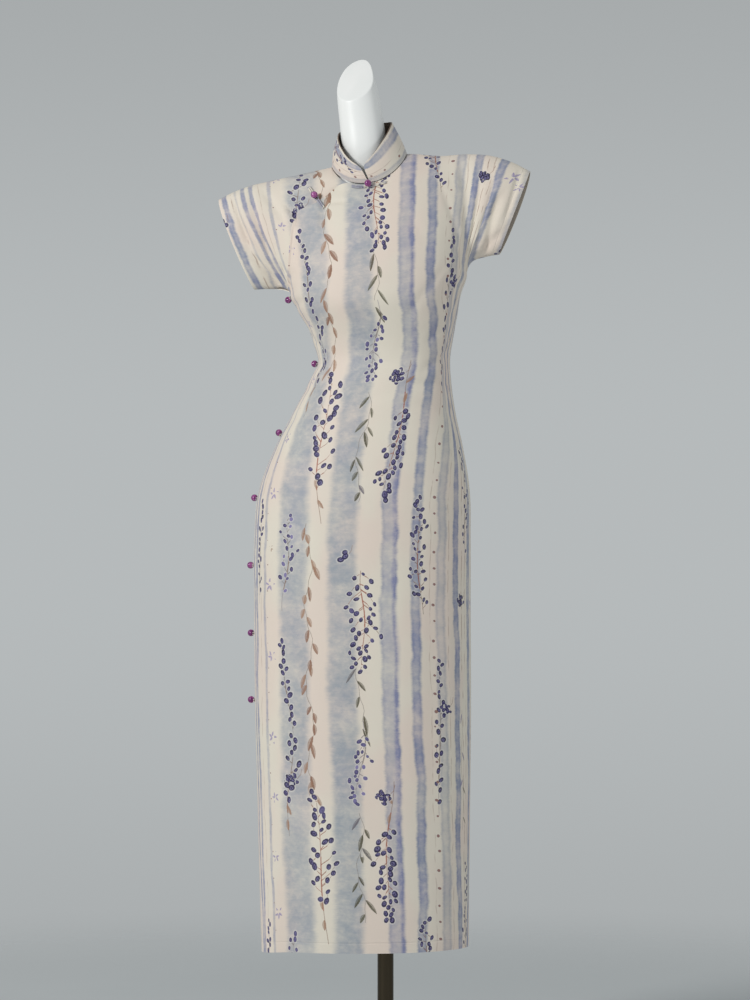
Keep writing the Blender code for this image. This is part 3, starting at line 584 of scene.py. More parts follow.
def arcs_at(z):
    """The cloth's length from a centre line to a side seam at each height."""
    heights = np.linspace(HEM_Z, BUST_Z, 80)
    _, half, front, behind, _, _ = smooth(RINGS, heights).T
    lines = quarter_line(half, (behind - front) / 2)
    lengths = np.linalg.norm(np.diff(lines, axis=1), axis=2).sum(axis=1)
    lengths += (BUST_ARC - lengths[-1]) * np.exp((heights - BUST_Z) / 60)
    return np.interp(z, heights, lengths)


def shrunk_in(z):
    """How much wider the flat cloth is at each height than the dress there, from a centre line to a side
    seam. A cheongsam's sides are shrunk under the iron beside the waist, so its stripes follow the
    figure."""
    heights = np.linspace(HEM_Z, BUST_Z, 80)
    arcs = arcs_at(heights)
    waist, hips = arcs.min(), arcs.max()
    here = arcs_at(z)
    above_waist = z > heights[arcs.argmin()]
    return np.where(above_waist, np.interp(here, (waist, BUST_ARC), (hips, BUST_ARC)), hips) - here


def print_place(f, d):
    """The flat print coordinates of points of the front, as (..., 2)."""
    f, d = np.broadcast_arrays(f, d)
    low = d > 1
    z = BUST_Z - (np.maximum(d, 1) - 1) * DROP
    column = np.interp(np.abs(f), *zip(*COLUMN_LENGTH))
    u = f * np.where(low, arcs_at(z), BUST_ARC)
    shrunk_part = ease(np.abs(f), np.where(f < 0, *SHRUNK_FROM), 1.0)
    u = u + np.sign(f) * np.where(low, shrunk_in(z), 0) * shrunk_part
    v = (d - 1) * np.where(low, DROP, column)
    return np.stack([u + PRINT_LEAN * v, v], axis=-1)


class Sketch:
    """The berries, leaves and stalks of the print, as marks of one kind each. A mark is a middle (u, v),
    half its length and width, its direction and its tone."""

    def __init__(self):
        self.marks = {BERRY: [], LEAF: [], STALK: []}

    def berry(self, u, v, size, direction, tone, chance):
        long, wide = size * chance.uniform(4.8, 6.4), size * chance.uniform(3.5, 4.7)
        self.marks[BERRY].append((u, v, long, wide, direction, tone))

    def leaf(self, u, v, length, width, direction, tone, side):
        middle = (u + length / 2 * cos(direction), v + length / 2 * sin(direction))
        self.marks[LEAF].append((*middle, length / 2, side * width / 2, direction, tone))

    def stalk(self, line, width, tone):
        for (u0, v0), (u1, v1) in zip(line, line[1:]):
            half = hypot(u1 - u0, v1 - v0) / 2
            mark = ((u0 + u1) / 2, (v0 + v1) / 2, half + 0.3, width / 2, atan2(v1 - v0, u1 - u0), tone)
            self.marks[STALK].append(mark)

    def spray(self, u, root, tip, reach, berries, lean, size, bare_share, tone, stem_tone, seed):
        """A winding stem with berries at the ends of short twigs. It is bare near its root, widest
        halfway and crowded at its tip."""
        chance = np.random.default_rng(seed)
        way, run = (1 if tip > root else -1), abs(tip - root)
        bend, phase = chance.uniform(2, 6) * min(1.0, reach / 16), chance.uniform(0, 6)

        def stem(t):
            winding = bend * (sin(phase + t * 7.0) - sin(phase)) * (1 - 0.5 * t)
            return u + lean * t + winding, root + way * run * t

        main = [stem(t) for t in np.linspace(0, 0.93, 22)]
        self.stalk(main[:6], 1.1, min(1.0, stem_tone + 0.40))
        self.stalk(main[5:14], 2.3, stem_tone)
        self.stalk(main[13:18], 1.4, min(1.0, stem_tone + 0.15))
        self.stalk(main[17:], 0.9, min(1.0, stem_tone + 0.45))
        held = []
        side = 1
        for i in range(berries):
            for _ in range(16):
                t = bare_share + (1 - bare_share) * ((i + chance.uniform(0, 1)) / berries) ** 0.85
                filled = (t - bare_share) / (1 - bare_share)
                full = 0.30 + 0.70 * sin(pi * min(1.0, 0.10 + 0.84 * filled)) ** 1.2
                full *= 0.75 + 0.35 * sin(phase + i * 1.9)
                aside = side * reach * full * chance.uniform(0.25, 1.0)
                middle_u, spot_v = stem(t)
                spot = (middle_u + aside, spot_v + chance.uniform(-4, 4))
                if all(hypot(spot[0] - a, spot[1] - b) > 8.0 * size for a, b in held):
                    break
            else:
                continue
            side = -side if chance.uniform(0, 1) < 0.72 else side
            near = min(held, key=lambda b: hypot(spot[0] - b[0], spot[1] - b[1]), default=None)
            joined = near and i % 3 == 2 and hypot(spot[0] - near[0], spot[1] - near[1]) < 17 * size
            back_off = 3 + abs(aside) * chance.uniform(0.55, 1.0)
            foot = near if joined else stem(max(0.02, t - back_off / run))
            elbow = (foot[0] * 0.4 + spot[0] * 0.6, foot[1] * 0.55 + spot[1] * 0.45)
            faded = min(1.0, stem_tone + chance.uniform(0.2, 0.6))
            self.stalk([foot, elbow], chance.uniform(1.0, 1.9), (stem_tone + faded) / 2)
            self.stalk([elbow, spot], chance.uniform(0.6, 1.0), faded)
            held.append(spot)
            direction = atan2(spot[1] - elbow[1], spot[0] - elbow[0]) + chance.uniform(-0.7, 0.7)
            shade = tone + chance.uniform(-0.08, 0.12) + (0.22 if chance.uniform(0, 1) < 0.2 else 0)
            self.berry(*spot, size * chance.uniform(0.72, 1.12), direction, min(max(shade, 0), 0.8), chance)
        for t in (0.30, 0.16):
            if bare_share > 0.22:
                direction = -way * pi / 2 + chance.uniform(-0.7, 0.7)
                self.leaf(*stem(t), 17 * size, 9 * size, direction, 0.2, side)

    def cluster(self, u, v, reach, berries, size, tone, seed):
        """Berries that lie close together round a middle, with a bit of stalk."""
        chance = np.random.default_rng(seed)
        for i in range(berries):
            turn, away = i * 2.4 + chance.uniform(-0.3, 0.3), reach * ((i + 0.5) / berries) ** 0.5
            spot = (u + away * cos(turn) * 0.95, v + away * sin(turn) * 0.9)
            self.berry(*spot, size * chance.uniform(0.75, 1.0), chance.uniform(0, pi), tone, chance)
        line = [(u + reach * 0.8, v - 2), (u + reach * 1.4, v - 9), (u + reach * 1.6, v - 18)]
        self.stalk(line, 0.9, 0.4)

    def vine(self, u, start, end, wave, spacing, length, width, tone, seed):
        """A waving stem whose leaves hang to either side, in loose groups with bare stretches between."""
        chance = np.random.default_rng(seed)
        count = ceil(abs(end - start) / spacing)
        lead = chance.uniform(0, 6)

        def stem(v):
            return u + wave * sin(lead + v * 2 * pi / 124) + 1.5 * sin(v * 2 * pi / 37), v

        line = [stem(v) for v in np.linspace(start, end, count * 2 + 1)]
        self.stalk(line, 0.9, 0.55 + 0.15 * (tone > 0.4))
        for i in range(count):
            if i % 6 == 5:
                continue
            v = start + (i + chance.uniform(0.0, 0.8)) * spacing
            side = 1 if (i + i // 4) % 2 else -1
            direction = pi / 2 - side * chance.uniform(0.25, 0.85)
            scale = chance.uniform(0.62, 1.15)
            shade = min(max(tone + chance.uniform(-0.10, 0.16), 0), 1)
            self.leaf(*stem(v), length * scale, width * chance.uniform(0.7, 1.1), direction, shade, side)

    def floret(self, u, v, size, tone, turn):
        """Five petals round one point."""
        for k in range(5):
            self.leaf(u, v, size * (0.66 + 0.06 * k), size * 0.46, turn + k * 2 * pi / 5, tone, 1)


def print_marks():
    """All marks of the print down the whole cloth."""
    sketch = Sketch()
    for shift in (-REPEAT, 0.0, REPEAT):
        turn = int(shift / REPEAT) * 100
        for u, root, tip, *rest, seed in SPRAYS:
            sketch.spray(u, root + shift, tip + shift, *rest, seed + turn + 200)
        for u, v, *rest, seed in CLUSTERS:
            sketch.cluster(u, v + shift, *rest, seed + turn + 200)
        for u, start, end, *rest, seed in VINES:
            sketch.vine(u, start + shift, end + shift, *rest, seed + turn + 200)
        for number, (u, v, size, tone) in enumerate(FLORETS):
            sketch.floret(u, v + shift, size, tone, number * 0.7 + turn)
    chance = np.random.default_rng(7)
    for u, spacing, size in DOTS:
        for v in np.arange(PRINT_TOP, PRINT_BOTTOM, spacing):
            spot = (u + chance.uniform(-1.5, 1.5), v + chance.uniform(-3, 3))
            sketch.berry(*spot, size / 10 * chance.uniform(0.7, 1.2), 0.3, 0.97, chance)
    return {kind: np.array(rows) for kind, rows in sketch.marks.items()}


def lay_marks(corners, rows, kind):
    """For each face, the marks that touch it. corners is (faces, 4, 2). Each slot holds every corner's
    place within its mark, from -1 to 1 along and across, and the mark's tone."""
    slots = np.full((SLOTS[kind], len(corners), 4, 3), NO_MARK)
    used = np.zeros(len(corners), int)
    lowest, highest = corners.min(axis=1), corners.max(axis=1)
    order = np.argsort(lowest[:, 1], kind="stable")
    tops = lowest[order, 1]
    cell = (highest[:, 1] - lowest[:, 1]).max()
    along_reach, across_reach = REACH[kind]
    for u, v, half_long, half_wide, direction, tone in rows:
        far = hypot(half_long * along_reach, half_wide * across_reach)
        first, last = np.searchsorted(tops, (v - far - cell, v + far))
        near = order[first:last]
        near = near[(lowest[near, 0] < u + far) & (highest[near, 0] > u - far)]
        if not len(near):
            continue
        du, dv = corners[near, :, 0] - u, corners[near, :, 1] - v
        x = (du * cos(direction) + dv * sin(direction)) / half_long
        y = (dv * cos(direction) - du * sin(direction)) / half_wide
        touched = (x.min(axis=1) < along_reach) & (x.max(axis=1) > -along_reach)
        touched &= (y.min(axis=1) < across_reach) & (y.max(axis=1) > -across_reach)
        touched &= used[near] < SLOTS[kind]
        chosen = near[touched]
        slots[used[chosen], chosen] = np.stack(
            [x[touched], y[touched], np.full(x[touched].shape, tone)], axis=2
        )
        used[chosen] += 1
    return slots


# ================================================================ materials


def srgb(red, green, blue):
    """A colour given as it looks on a screen, from 0 to 255, for a shader."""
    shares = [c / 255 for c in (red, green, blue)]
    return tuple(c / 12.92 if c <= 0.04045 else ((c + 0.055) / 1.055) ** 2.4 for c in shares)


class Wire:
    """An output of a shader node. Sums written with it add Math nodes."""

    def __init__(self, paint, socket):
        self.paint, self.socket = paint, socket

    def math(self, operation, *values, **settings):
        settings["operation"] = operation
        return self.paint.node("ShaderNodeMath", settings, dict(enumerate(values)))

    def __add__(self, other):
        return self.math("ADD", self, other)

    __radd__ = __add__

    def __sub__(self, other):
        return self.math("SUBTRACT", self, other)

    def __rsub__(self, other):
        return self.math("SUBTRACT", other, self)

    def __mul__(self, other):
        return self.math("MULTIPLY", self, other)

    __rmul__ = __mul__

    def __pow__(self, other):
        return self.math("POWER", self, other)

    def __abs__(self):
        return self.math("ABSOLUTE", self)

    def __lt__(self, other):
        return self.math("LESS_THAN", self, other)

    def most(self, other):
        return self.math("MAXIMUM", self, other)

    def least(self, other):
        return self.math("MINIMUM", self, other)

    def rise(self, low, high):
        """0 below low and 1 above high, or the other way round if low is the larger."""
        feeds = {"Value": self, "From Min": low, "From Max": high}
        return self.paint.node("ShaderNodeMapRange", {"interpolation_type": "SMOOTHSTEP"}, feeds)


class Paint:
    """A material in the making: its nodes, and the finish they end in."""

    def __init__(self, name):
        self.material = bpy.data.materials.new(name)
        self.material.use_nodes = True
        self.tree = self.material.node_tree
        self.shader = self.tree.nodes["Principled BSDF"]

    def node(self, kind, settings=None, feeds=None, outlet=0):
        """Adds a node: its settings first, then the values or links of its sockets."""
        made = self.tree.nodes.new(kind)
        for name, value in (settings or {}).items():
            if name == "stops":
                self._stops(made.color_ramp, value)
            else:
                setattr(made, name, value)
        for name, value in (feeds or {}).items():
            self.feed(made.inputs[name], value)
        return Wire(self, made.outputs[outlet])

    def _stops(self, ramp, stops):
        while len(ramp.elements) < len(stops):
            ramp.elements.new(0.5)
        for element, (position, colour) in zip(ramp.elements, stops):
            element.position = position
            element.color = (*colour, 1)

    def feed(self, socket, value):
        if isinstance(value, Wire):
            self.tree.links.new(value.socket, socket)
        elif socket.type == "RGBA":
            socket.default_value = (*value, 1)
        else:
            socket.default_value = value

    def attribute(self, name):
        return self.node("ShaderNodeAttribute", {"attribute_name": name}, {}, "Vector")

    def own_place(self):
        """The place on the object itself, in metres."""
        return self.node("ShaderNodeTexCoord", {}, {}, "Object")

    def parts(self, vector):
        made = self.node("ShaderNodeSeparateXYZ", {}, {0: vector})
        return [Wire(self, outlet) for outlet in made.socket.node.outputs]

    def spots(self, place, wide, tall, seed=0.0, detail=2.0, roughness=0.5):
        """Noise from 0 to 1 in spots of that width and height."""
        feeds = {0: place, 1: (1 / wide, 1 / tall, 1), 2: (seed, seed * 1.7, seed)}
        moved = self.node("ShaderNodeVectorMath", {"operation": "MULTIPLY_ADD"}, feeds)
        feeds = {"Vector": moved, "Scale": 1.0, "Detail": detail, "Roughness": roughness}
        return self.node("ShaderNodeTexNoise", {}, feeds, "Fac")

    def mix(self, share, first, second):
        """A colour between two, by a share from 0 to 1."""
        settings = {"data_type": "RGBA", "blend_type": "MIX", "clamp_factor": True}
        return self.node("ShaderNodeMix", settings, {0: share, 6: first, 7: second}, 2)

    def ramp(self, value, stops):
        return self.node("ShaderNodeValToRGB", {"stops": stops}, {"Fac": value}, "Color")

    def bump(self, height, strength, distance, normal=None):
        feeds = {"Height": height, "Strength": strength, "Distance": distance / METRE}
        if normal is not None:
            feeds["Normal"] = normal
        return self.node("ShaderNodeBump", {}, feeds, "Normal")

    def finish(self, **feeds):
        """Feeds the shader, with underscores for the spaces in its sockets' names."""
        for name, value in feeds.items():
            self.feed(self.shader.inputs[name.replace("_", " ")], value)
        return self.material


IVORY, WARM_IVORY = srgb(230, 222, 207), srgb(231, 216, 203)
BLUE_WASH, VIOLET_WASH = srgb(150, 160, 172), srgb(136, 140, 174)
DEEP_WASH = srgb(116, 124, 156)
PALE_HALO, BERRY_LIGHT = srgb(228, 224, 218), srgb(146, 140, 186)
BERRY_TONES = (
    (0.0, srgb(16, 10, 46)),
    (0.10, srgb(28, 18, 78)),
    (0.22, srgb(36, 26, 70)),
    (0.42, srgb(58, 50, 98)),
    (0.62, srgb(106, 100, 146)),
    (0.85, srgb(150, 140, 185)),
    (0.92, srgb(150, 112, 98)),
)
LEAF_TONES = (
    (0.0, srgb(138, 96, 74)),
    (0.25, srgb(172, 136, 112)),
    (0.50, srgb(72, 66, 42)),
    (0.70, srgb(96, 94, 72)),
    (0.85, srgb(146, 134, 176)),
    (1.0, srgb(170, 160, 194)),
)
STALK_TONES = (
    (0.0, srgb(168, 84, 58)),
    (0.30, srgb(150, 100, 78)),
    (0.60, srgb(128, 116, 100)),
    (1.0, srgb(160, 150, 160)),
)
GLAZE_TONES = (
    (0.30, srgb(74, 22, 74)),
    (0.48, srgb(122, 38, 112)),
    (0.58, srgb(168, 84, 150)),
    (0.72, srgb(206, 150, 190)),
)
HEM_TURN = 16.0  # height of the turned-up hem
CUFF_TURN = 12.0
THREAD = 0.42  # distance between threads


def washes(paint, place, u):
    """The watercolour stripes on the plain cloth."""
    edge = paint.spots(place, 11, 1.7, 1.3, 4.0) * 5 + paint.spots(place, 26, 18, 2.1, 3.0) * 9 - 7
    wanders = [
        (paint.spots(place, 900, 150, 3.1 + k) - 0.5) * 15 + (paint.spots(place, 900, 40, 7 + k) - 0.5) * 5
        for k in range(3)
    ]
    pigment, violet, rims = 0.0, 0.0, 0.0
    for number, (middle, half, strength, hue, rim, soft) in enumerate(STRIPES):
        inside = half - abs(u + wanders[number % 3] - middle) + edge * min(1.0, 0.3 + half / 22)
        cover = inside.rise(-soft, soft * 0.8)
        pigment = cover * strength + pigment
        violet = cover * hue + violet
        rims = cover * inside.rise(6.5, 0.5) * rim + rims
    clouds = paint.spots(place, 58, 44, 11.0, 5.0, 0.62).rise(0.30, 0.66)
    strokes = paint.spots(place, 22, 2.4, 12.0, 3.0, 0.6)
    pools = paint.spots(place, 13, 10, 13.0, 4.0, 0.65).rise(0.28, 0.66)
    density = pigment * (0.16 + clouds * 0.48 + strokes * 0.28 + pools * 0.28) + rims * 0.32
    hue = (violet + (paint.spots(place, 70, 55, 16.0, 3.0) - 0.5) * 1.5).least(1.0).most(0.0)
    ground = paint.mix(paint.spots(place, 90, 160, 14.0).rise(0.35, 0.65), IVORY, WARM_IVORY)
    wash = paint.mix(hue, BLUE_WASH, VIOLET_WASH)
    wash = paint.mix((rims * 0.8).least(0.7), wash, DEEP_WASH)
    return paint.mix(density.least(0.97), ground, wash)


def thin_lines(paint, place, u, colour):
    """The faint brown lines drawn beside the stripes."""
    wander = (paint.spots(place, 900, 60, 21.0, 3.0) - 0.5) * 14
    broken = paint.spots(place, 30, 22, 22.0, 3.0).rise(0.38, 0.6)
    for middle, strength in THIN_LINES:
        cover = abs(u + wander - middle).rise(1.3, 0.4) * broken * strength
        colour = paint.mix(cover, colour, srgb(158, 130, 116))
    return colour


def drawn(paint, place, colour):
    """Stalks, then leaves, then berries, over the washes."""
    water = paint.spots(place, 3.2, 2.6, 31.0, 3.0, 0.6)
    ragged = paint.spots(place, 2.0, 2.0, 33.0, 2.0) - 0.5
    for slot in range(SLOTS[STALK]):
        x, y, tone = paint.parts(paint.attribute(f"{STALK}_{slot}"))
        cover = (abs(y) + ragged * 0.8).rise(1.05, 0.55) * (abs(x) < 1.0)
        colour = paint.mix(cover * (0.40 + water * 0.8), colour, paint.ramp(tone, STALK_TONES))
    for slot in range(SLOTS[LEAF]):
        x, y, tone = paint.parts(paint.attribute(f"{LEAF}_{slot}"))
        t = (x + 1) * 0.5
        bent = y - t * t * 0.75 + 0.1
        room = t.most(0.0) ** 0.7 * (1 - t).most(0.0) ** 0.8 * 2.1
        inner = room - abs(bent) + ragged * 0.28
        cover = inner.rise(0.0, 0.24) * (abs(x) < 1.0)
        rim = inner.rise(0.42, 0.12) * 0.24 + abs(bent).rise(0.16, 0.03) * 0.22
        half = (bent + ragged * 0.3).rise(-0.25, 0.25) * 0.34
        shade = (cover * (0.26 + water * 0.52 + rim + half)).least(0.96)
        colour = paint.mix(shade, colour, paint.ramp(tone, LEAF_TONES))
    places = [paint.parts(paint.attribute(f"{BERRY}_{slot}")) for slot in range(SLOTS[BERRY])]
    reaches = [(x * x + y * y) ** 0.5 + ragged * 0.34 for x, y, _ in places]
    nearest = reaches[0]
    for away in reaches[1:]:
        nearest = nearest.least(away)
    colour = paint.mix(nearest.rise(1.50, 1.12) * 0.50, colour, PALE_HALO)
    for (x, y, tone), away in zip(places, reaches):
        cover = away.rise(1.06, 0.84) * (0.88 + water * 0.22)
        off = ((x + 0.12) * (x + 0.12) + (y - 0.10) * (y - 0.10)) ** 0.5
        bright = off.rise(0.74, 0.46) * off.rise(0.06, 0.30) * water.rise(0.32, 0.62) * (0.76 - tone * 0.55)
        skin = paint.mix(bright, paint.ramp(tone, BERRY_TONES), BERRY_LIGHT)
        colour = paint.mix(cover.least(0.98), colour, skin)
    return colour


def cloth_relief(paint, place, u, v):
    """Threads, slubs, and the lines where the hem and the cuffs are turned up."""
    warp = u.math("SINE", u * (2 * pi / THREAD))
    weft = v.math("SINE", v * (2 * pi / THREAD))
    threads = warp * weft * 0.5
    slubs = paint.spots(place, 16, 0.9, 41.0, 2.0) * 1.4 + paint.spots(place, 1.0, 12, 42.0, 2.0) * 0.9
    crumple = paint.spots(place, 34, 26, 43.0, 3.0) * 1.2
    hem_line = abs(v - (BUST_Z - HEM_Z - HEM_TURN)).rise(1.6, 0.2)
    cuff_line = abs(abs(u) - (CUFF_F * BUST_ARC - CUFF_TURN)).rise(1.2, 0.2) * (v < 0.0)
    fine = paint.bump(threads + slubs, 0.30, 0.10)
    coarse = paint.bump(crumple, 0.22, 1.6, fine)
    return paint.bump((hem_line + cuff_line) * -1.0, 0.8, 0.35, coarse)


def printed_cloth():
    paint = Paint("printed_cloth")
    place = paint.attribute("print_place")
    u, v, _ = paint.parts(place)
    colour = washes(paint, place, u)
    colour = thin_lines(paint, place, u, colour)
    colour = drawn(paint, place, colour)
    relief = cloth_relief(paint, place, u, v)
    rough = paint.spots(place, 20, 14, 45.0) * 0.16 + 0.56
    return paint.finish(
        Base_Color=colour,
        Roughness=rough,
        Normal=relief,
        Specular_IOR_Level=0.35,
        Sheen_Weight=0.12,
        Sheen_Roughness=0.4,
    )


def spots_in_space(paint, size, seed):
    """Noise in spots of that size in millimetres, on the object itself."""
    return paint.spots(paint.own_place(), size / METRE, size / METRE, seed, 3.0)


def plain_cloth(name, colour, dark):
    """A plain woven cloth in one colour, a little darker in patches."""
    paint = Paint(name)
    patches = spots_in_space(paint, 9, 3.0)
    threads = spots_in_space(paint, 0.7, 5.0)
    shade = paint.mix(patches.rise(0.3, 0.7), dark, colour)
    rough, relief = patches * 0.2 + 0.6, paint.bump(threads, 0.3, 0.15)
    return paint.finish(Base_Color=shade, Roughness=rough, Normal=relief, Sheen_Weight=0.1)


def cord_cloth():
    """The bias-cut strips of the dress cloth that the frogs are rolled from."""
    paint = Paint("frog_cloth")
    place = paint.own_place()
    washed = paint.spots(place, 0.011, 0.011, 2.0, 3.0).rise(0.44, 0.58)
    speck = paint.spots(place, 0.004, 0.004, 6.0, 2.0).rise(0.60, 0.68)
    colour = paint.mix(washed * 0.85, IVORY, srgb(150, 152, 172))
    colour = paint.mix(speck * 0.8, colour, srgb(74, 64, 104))
    threads = paint.spots(place, 0.0006, 0.0006, 8.0, 2.0)
    rough, relief = washed * 0.1 + 0.55, paint.bump(threads, 0.3, 0.2)
    return paint.finish(Base_Color=colour, Roughness=rough, Normal=relief)


def button_glaze():
    """Polished stone: deep magenta with paler clouds."""
    paint = Paint("button_glaze")
    place = paint.own_place()
    clouds = paint.spots(place, 0.0045, 0.0045, 1.0, 4.0, 0.6)
    colour, rough = paint.ramp(clouds, GLAZE_TONES), clouds * 0.12 + 0.10
    return paint.finish(Base_Color=colour, Roughness=rough, Coat_Weight=0.6, Coat_Roughness=0.06)


def form_shell():
    """The form's smooth white shell, with the faint unevenness of a sprayed coat."""
    paint = Paint("form_shell")
    broad, peel = spots_in_space(paint, 60, 1.0), spots_in_space(paint, 1.6, 2.0)
    colour = paint.mix(broad.rise(0.35, 0.65), srgb(244, 245, 243), srgb(249, 249, 247))
    rough, relief = broad * 0.14 + 0.34, paint.bump(peel, 0.12, 0.12)
    return paint.finish(Base_Color=colour, Roughness=rough, Normal=relief)


def stand_metal(name, colour, dull):
    """Polished dark metal, drawn lengthwise, with a few rubbed spots."""
    paint = Paint(name)
    place = paint.own_place()
    drawn_lines = paint.spots(place, 0.0009, 0.25, 3.0, 3.0)
    worn = paint.spots(place, 0.05, 0.05, 5.0, 4.0).rise(0.5, 0.75)
    shade = paint.mix(worn * 0.5, colour, tuple(c * 1.8 for c in colour))
    rough = drawn_lines * 0.10 + worn * 0.08 + dull
    relief = paint.bump(drawn_lines, 0.10, 0.05)
    return paint.finish(Base_Color=shade, Roughness=rough, Normal=relief, Metallic=1.0)


def studio_paper():
    """A pale floor that fades out before the edge of its disc."""
    paint = Paint("studio_floor")
    place = paint.own_place()
    x, y, _ = paint.parts(place)
    shade = paint.mix(paint.spots(place, 0.4, 0.4, 2.0), srgb(204, 208, 209), srgb(209, 213, 214))
    alpha = (x * x + y * y) ** 0.5
    return paint.finish(Base_Color=shade, Roughness=0.7, Alpha=alpha.rise(2.2, 0.9))


# ================================================================ meshes

MARKS = print_marks()
LIP_SHARE, LIP_MOST = 0.22, 0.16  # how far a free edge's lip stands out: share of the thickness, most in mm
CLOTH_ANGLE, FORM_ANGLE, STAND_ANGLE = 60, 50, 40  # edges that turn by more degrees than this stay sharp


def add_object(data, name, finishes):
    obj = bpy.data.objects.new(name, data)
    bpy.context.scene.collection.objects.link(obj)
    for finish in finishes:
        data.materials.append(finish)
    return obj


def wall(name, patches, finishes, inside_finish=1):
    """A closed wall of cloth. Each patch is an outer and an inner grid of points and their places in the
    print. Patches that share an edge become one sheet, and its free edges are closed with a soft fold."""
    index, quads, outside, inside, places = {}, [], [], [], []
    for outer, inner, place in patches:
        grid = outer.shape[:2]
        outer, inner, place = (a.reshape(grid[0] * grid[1], -1) for a in (outer, inner, place))
        number = np.empty(len(outer), int)
        for i, key in enumerate(map(tuple, np.round(outer, 2).tolist())):
            if key not in index:
                index[key] = len(index)
                outside.append(outer[i])
                inside.append(inner[i])
                places.append(place[i])
            number[i] = index[key]
        number = number.reshape(grid)
        ring = (number[:-1, :-1], number[1:, :-1], number[1:, 1:], number[:-1, 1:])
        quads.append(np.stack(ring, axis=-1).reshape(-1, 4))
    quads = np.vstack(quads)
    points, places = np.stack([outside, inside], axis=1), np.array(places)
    count = len(points)
    starts, ends = quads.ravel(), np.roll(quads, -1, axis=1).ravel()
    forward = starts * count + ends
    free = ~np.isin(forward, ends * count + starts)
    a, b = starts[free], ends[free]

    # The free edges fold over a rounded lip between the two faces.
    rim_points = np.unique(np.concatenate([a, b]))
    lip = np.full(count, -1)
    lip[rim_points] = 2 * count + np.arange(len(rim_points))
    middle = points[rim_points].mean(axis=1)
    wide = points[rim_points, 0] - points[rim_points, 1]
    way = np.zeros((count, 3))
    run = points[b, 0] - points[a, 0]
    side = np.cross(points[a, 0] - points[a, 1], run)
    side /= np.maximum(np.linalg.norm(side, axis=1), 1e-9)[:, None]
    np.add.at(way, a, side)
    np.add.at(way, b, side)
    way = way[rim_points]
    way /= np.maximum(np.linalg.norm(way, axis=1), 1e-9)[:, None]
    middle = middle + way * np.minimum(np.linalg.norm(wide, axis=1) * LIP_SHARE, LIP_MOST)[:, None]
    outer_rims = np.stack([b, a, lip[a], lip[b]], axis=1)
    inner_rims = np.stack([lip[b], lip[a], a + count, b + count], axis=1)
    faces = np.vstack([quads, quads[:, ::-1] + count, outer_rims, inner_rims])
    spots = np.vstack([points[:, 0], points[:, 1], middle]) / METRE
    mesh = bpy.data.meshes.new(name)
    mesh.from_pydata(spots.tolist(), [], faces.tolist())
    obj = add_object(mesh, name, finishes)
    face_finish = np.zeros(len(faces), int)
    # Inner faces take the second finish; on the collar that is dark brown painted shade.
    face_finish[len(quads) : 2 * len(quads)] = min(inside_finish, len(finishes) - 1)
    # Free edges take the last of three finishes; on the collar that is dark brown painted shade along its
    # rims.
    face_finish[2 * len(quads) :] = len(finishes) - 1 if len(finishes) > 2 else 0
    mesh.polygons.foreach_set("material_index", face_finish)

    all_places = np.vstack([places, places, places[rim_points]])
    held = mesh.attributes.new("print_place", "FLOAT_VECTOR", "POINT")
    held.data.foreach_set("vector", np.hstack([all_places, np.zeros((len(all_places), 1))]).ravel())
    corners = places[quads]
    for kind, rows in MARKS.items():
        slots = lay_marks(corners, rows, kind)
        for slot in range(SLOTS[kind]):
            values = np.full((len(faces), 4, 3), NO_MARK)
            values[: len(quads)] = slots[slot]
            held = mesh.attributes.new(f"{kind}_{slot}", "FLOAT_VECTOR", "CORNER")
            held.data.foreach_set("vector", values.ravel())
    mesh.shade_smooth()
    mesh.set_sharp_from_angle(angle=radians(CLOTH_ANGLE))
    return obj


def layers(back, f, d, sink=0.0, place_of=lambda p: p):
    """The two faces of a piece of cloth that lies sunk below the panels' face, and its print."""
    outer, normal = cloth(back, f, d, -sink)
    inner, _ = cloth(back, f, d, -sink - CLOTH)
    return outer, inner, place_of(print_place(f, d))


def columns(low, high, count, extra=()):
    """f values from low to high, with those that shape the neckline and any extra ones."""
    even = np.linspace(-1, 1, count)
    plain = (low + high) / 2 + (high - low) / 2 * (0.7 * even + 0.3 * np.sin(even * pi / 2))
    wanted = [side * v for side in (-1, 1) for v in (*NECK_COLUMNS, NECK_ARC / BUST_ARC)]
    wanted = [v for v in (*wanted, *extra) if low < v < high]
    kept = [v for v in plain if min((abs(v - w) for w in wanted), default=1) > 0.008]
    return np.array(sorted(kept + wanted))


UPPER_ROWS, LOWER_ROWS, BODY_COLUMNS, SLEEVE_COLUMNS = 72, 210, 124, 24
HEM_ROWS = (0.1, 0.085, 0.07, 0.03, 0.008, 0)  # how far above the hem the last rows lie, in d


def rows_down():
    """Shares from 0 to 1 that lie closer together at both ends, where the cloth folds over."""
    even = np.linspace(0, 1, UPPER_ROWS + 1)
    return (0.6 * even + 0.4 * (1 - np.cos(pi * even)) / 2)[:, None]


def sleeve_grid(side):
    """f and d over one sleeve, from the armhole's line to the cuff."""
    first = 1 - SEAM / 2 / BUST_ARC
    f = side * np.concatenate([[first], np.linspace(first + 0.018, CUFF_F, SLEEVE_COLUMNS)])
    gap = SEAM / 2 / DROP
    low = np.where(np.abs(f) < 1, 1.0, 1 - gap)
    share = rows_down()
    d = gap * (1 - share) + low[None, :] * share
    return np.broadcast_to(f, d.shape)[:, ::side], d[:, ::side]


def body_grid(top, f):
    """f and d over a panel's body, from its top edge to the hem."""
    share = rows_down()
    upper = top[None, :] * (1 - share) + share
    hem = level(HEM_Z)
    lower = np.concatenate([np.linspace(1, hem, LOWER_ROWS)[1:-5], hem - np.array(HEM_ROWS)])
    d = np.vstack([upper, lower[:, None] * np.ones(len(f))])
    return np.broadcast_to(f, d.shape), d


# How far the print of each piece is moved against the front's, in u and v. The back's also runs mirrored.
BACK_PRINT, UNDERLAP_PRINT = (30, 212), (14, 264)
LAP_STANDS = 2.6  # how far the front's curved edge stands off
LAP_STANDS_OVER = 0.06  # and over how much d it comes down again


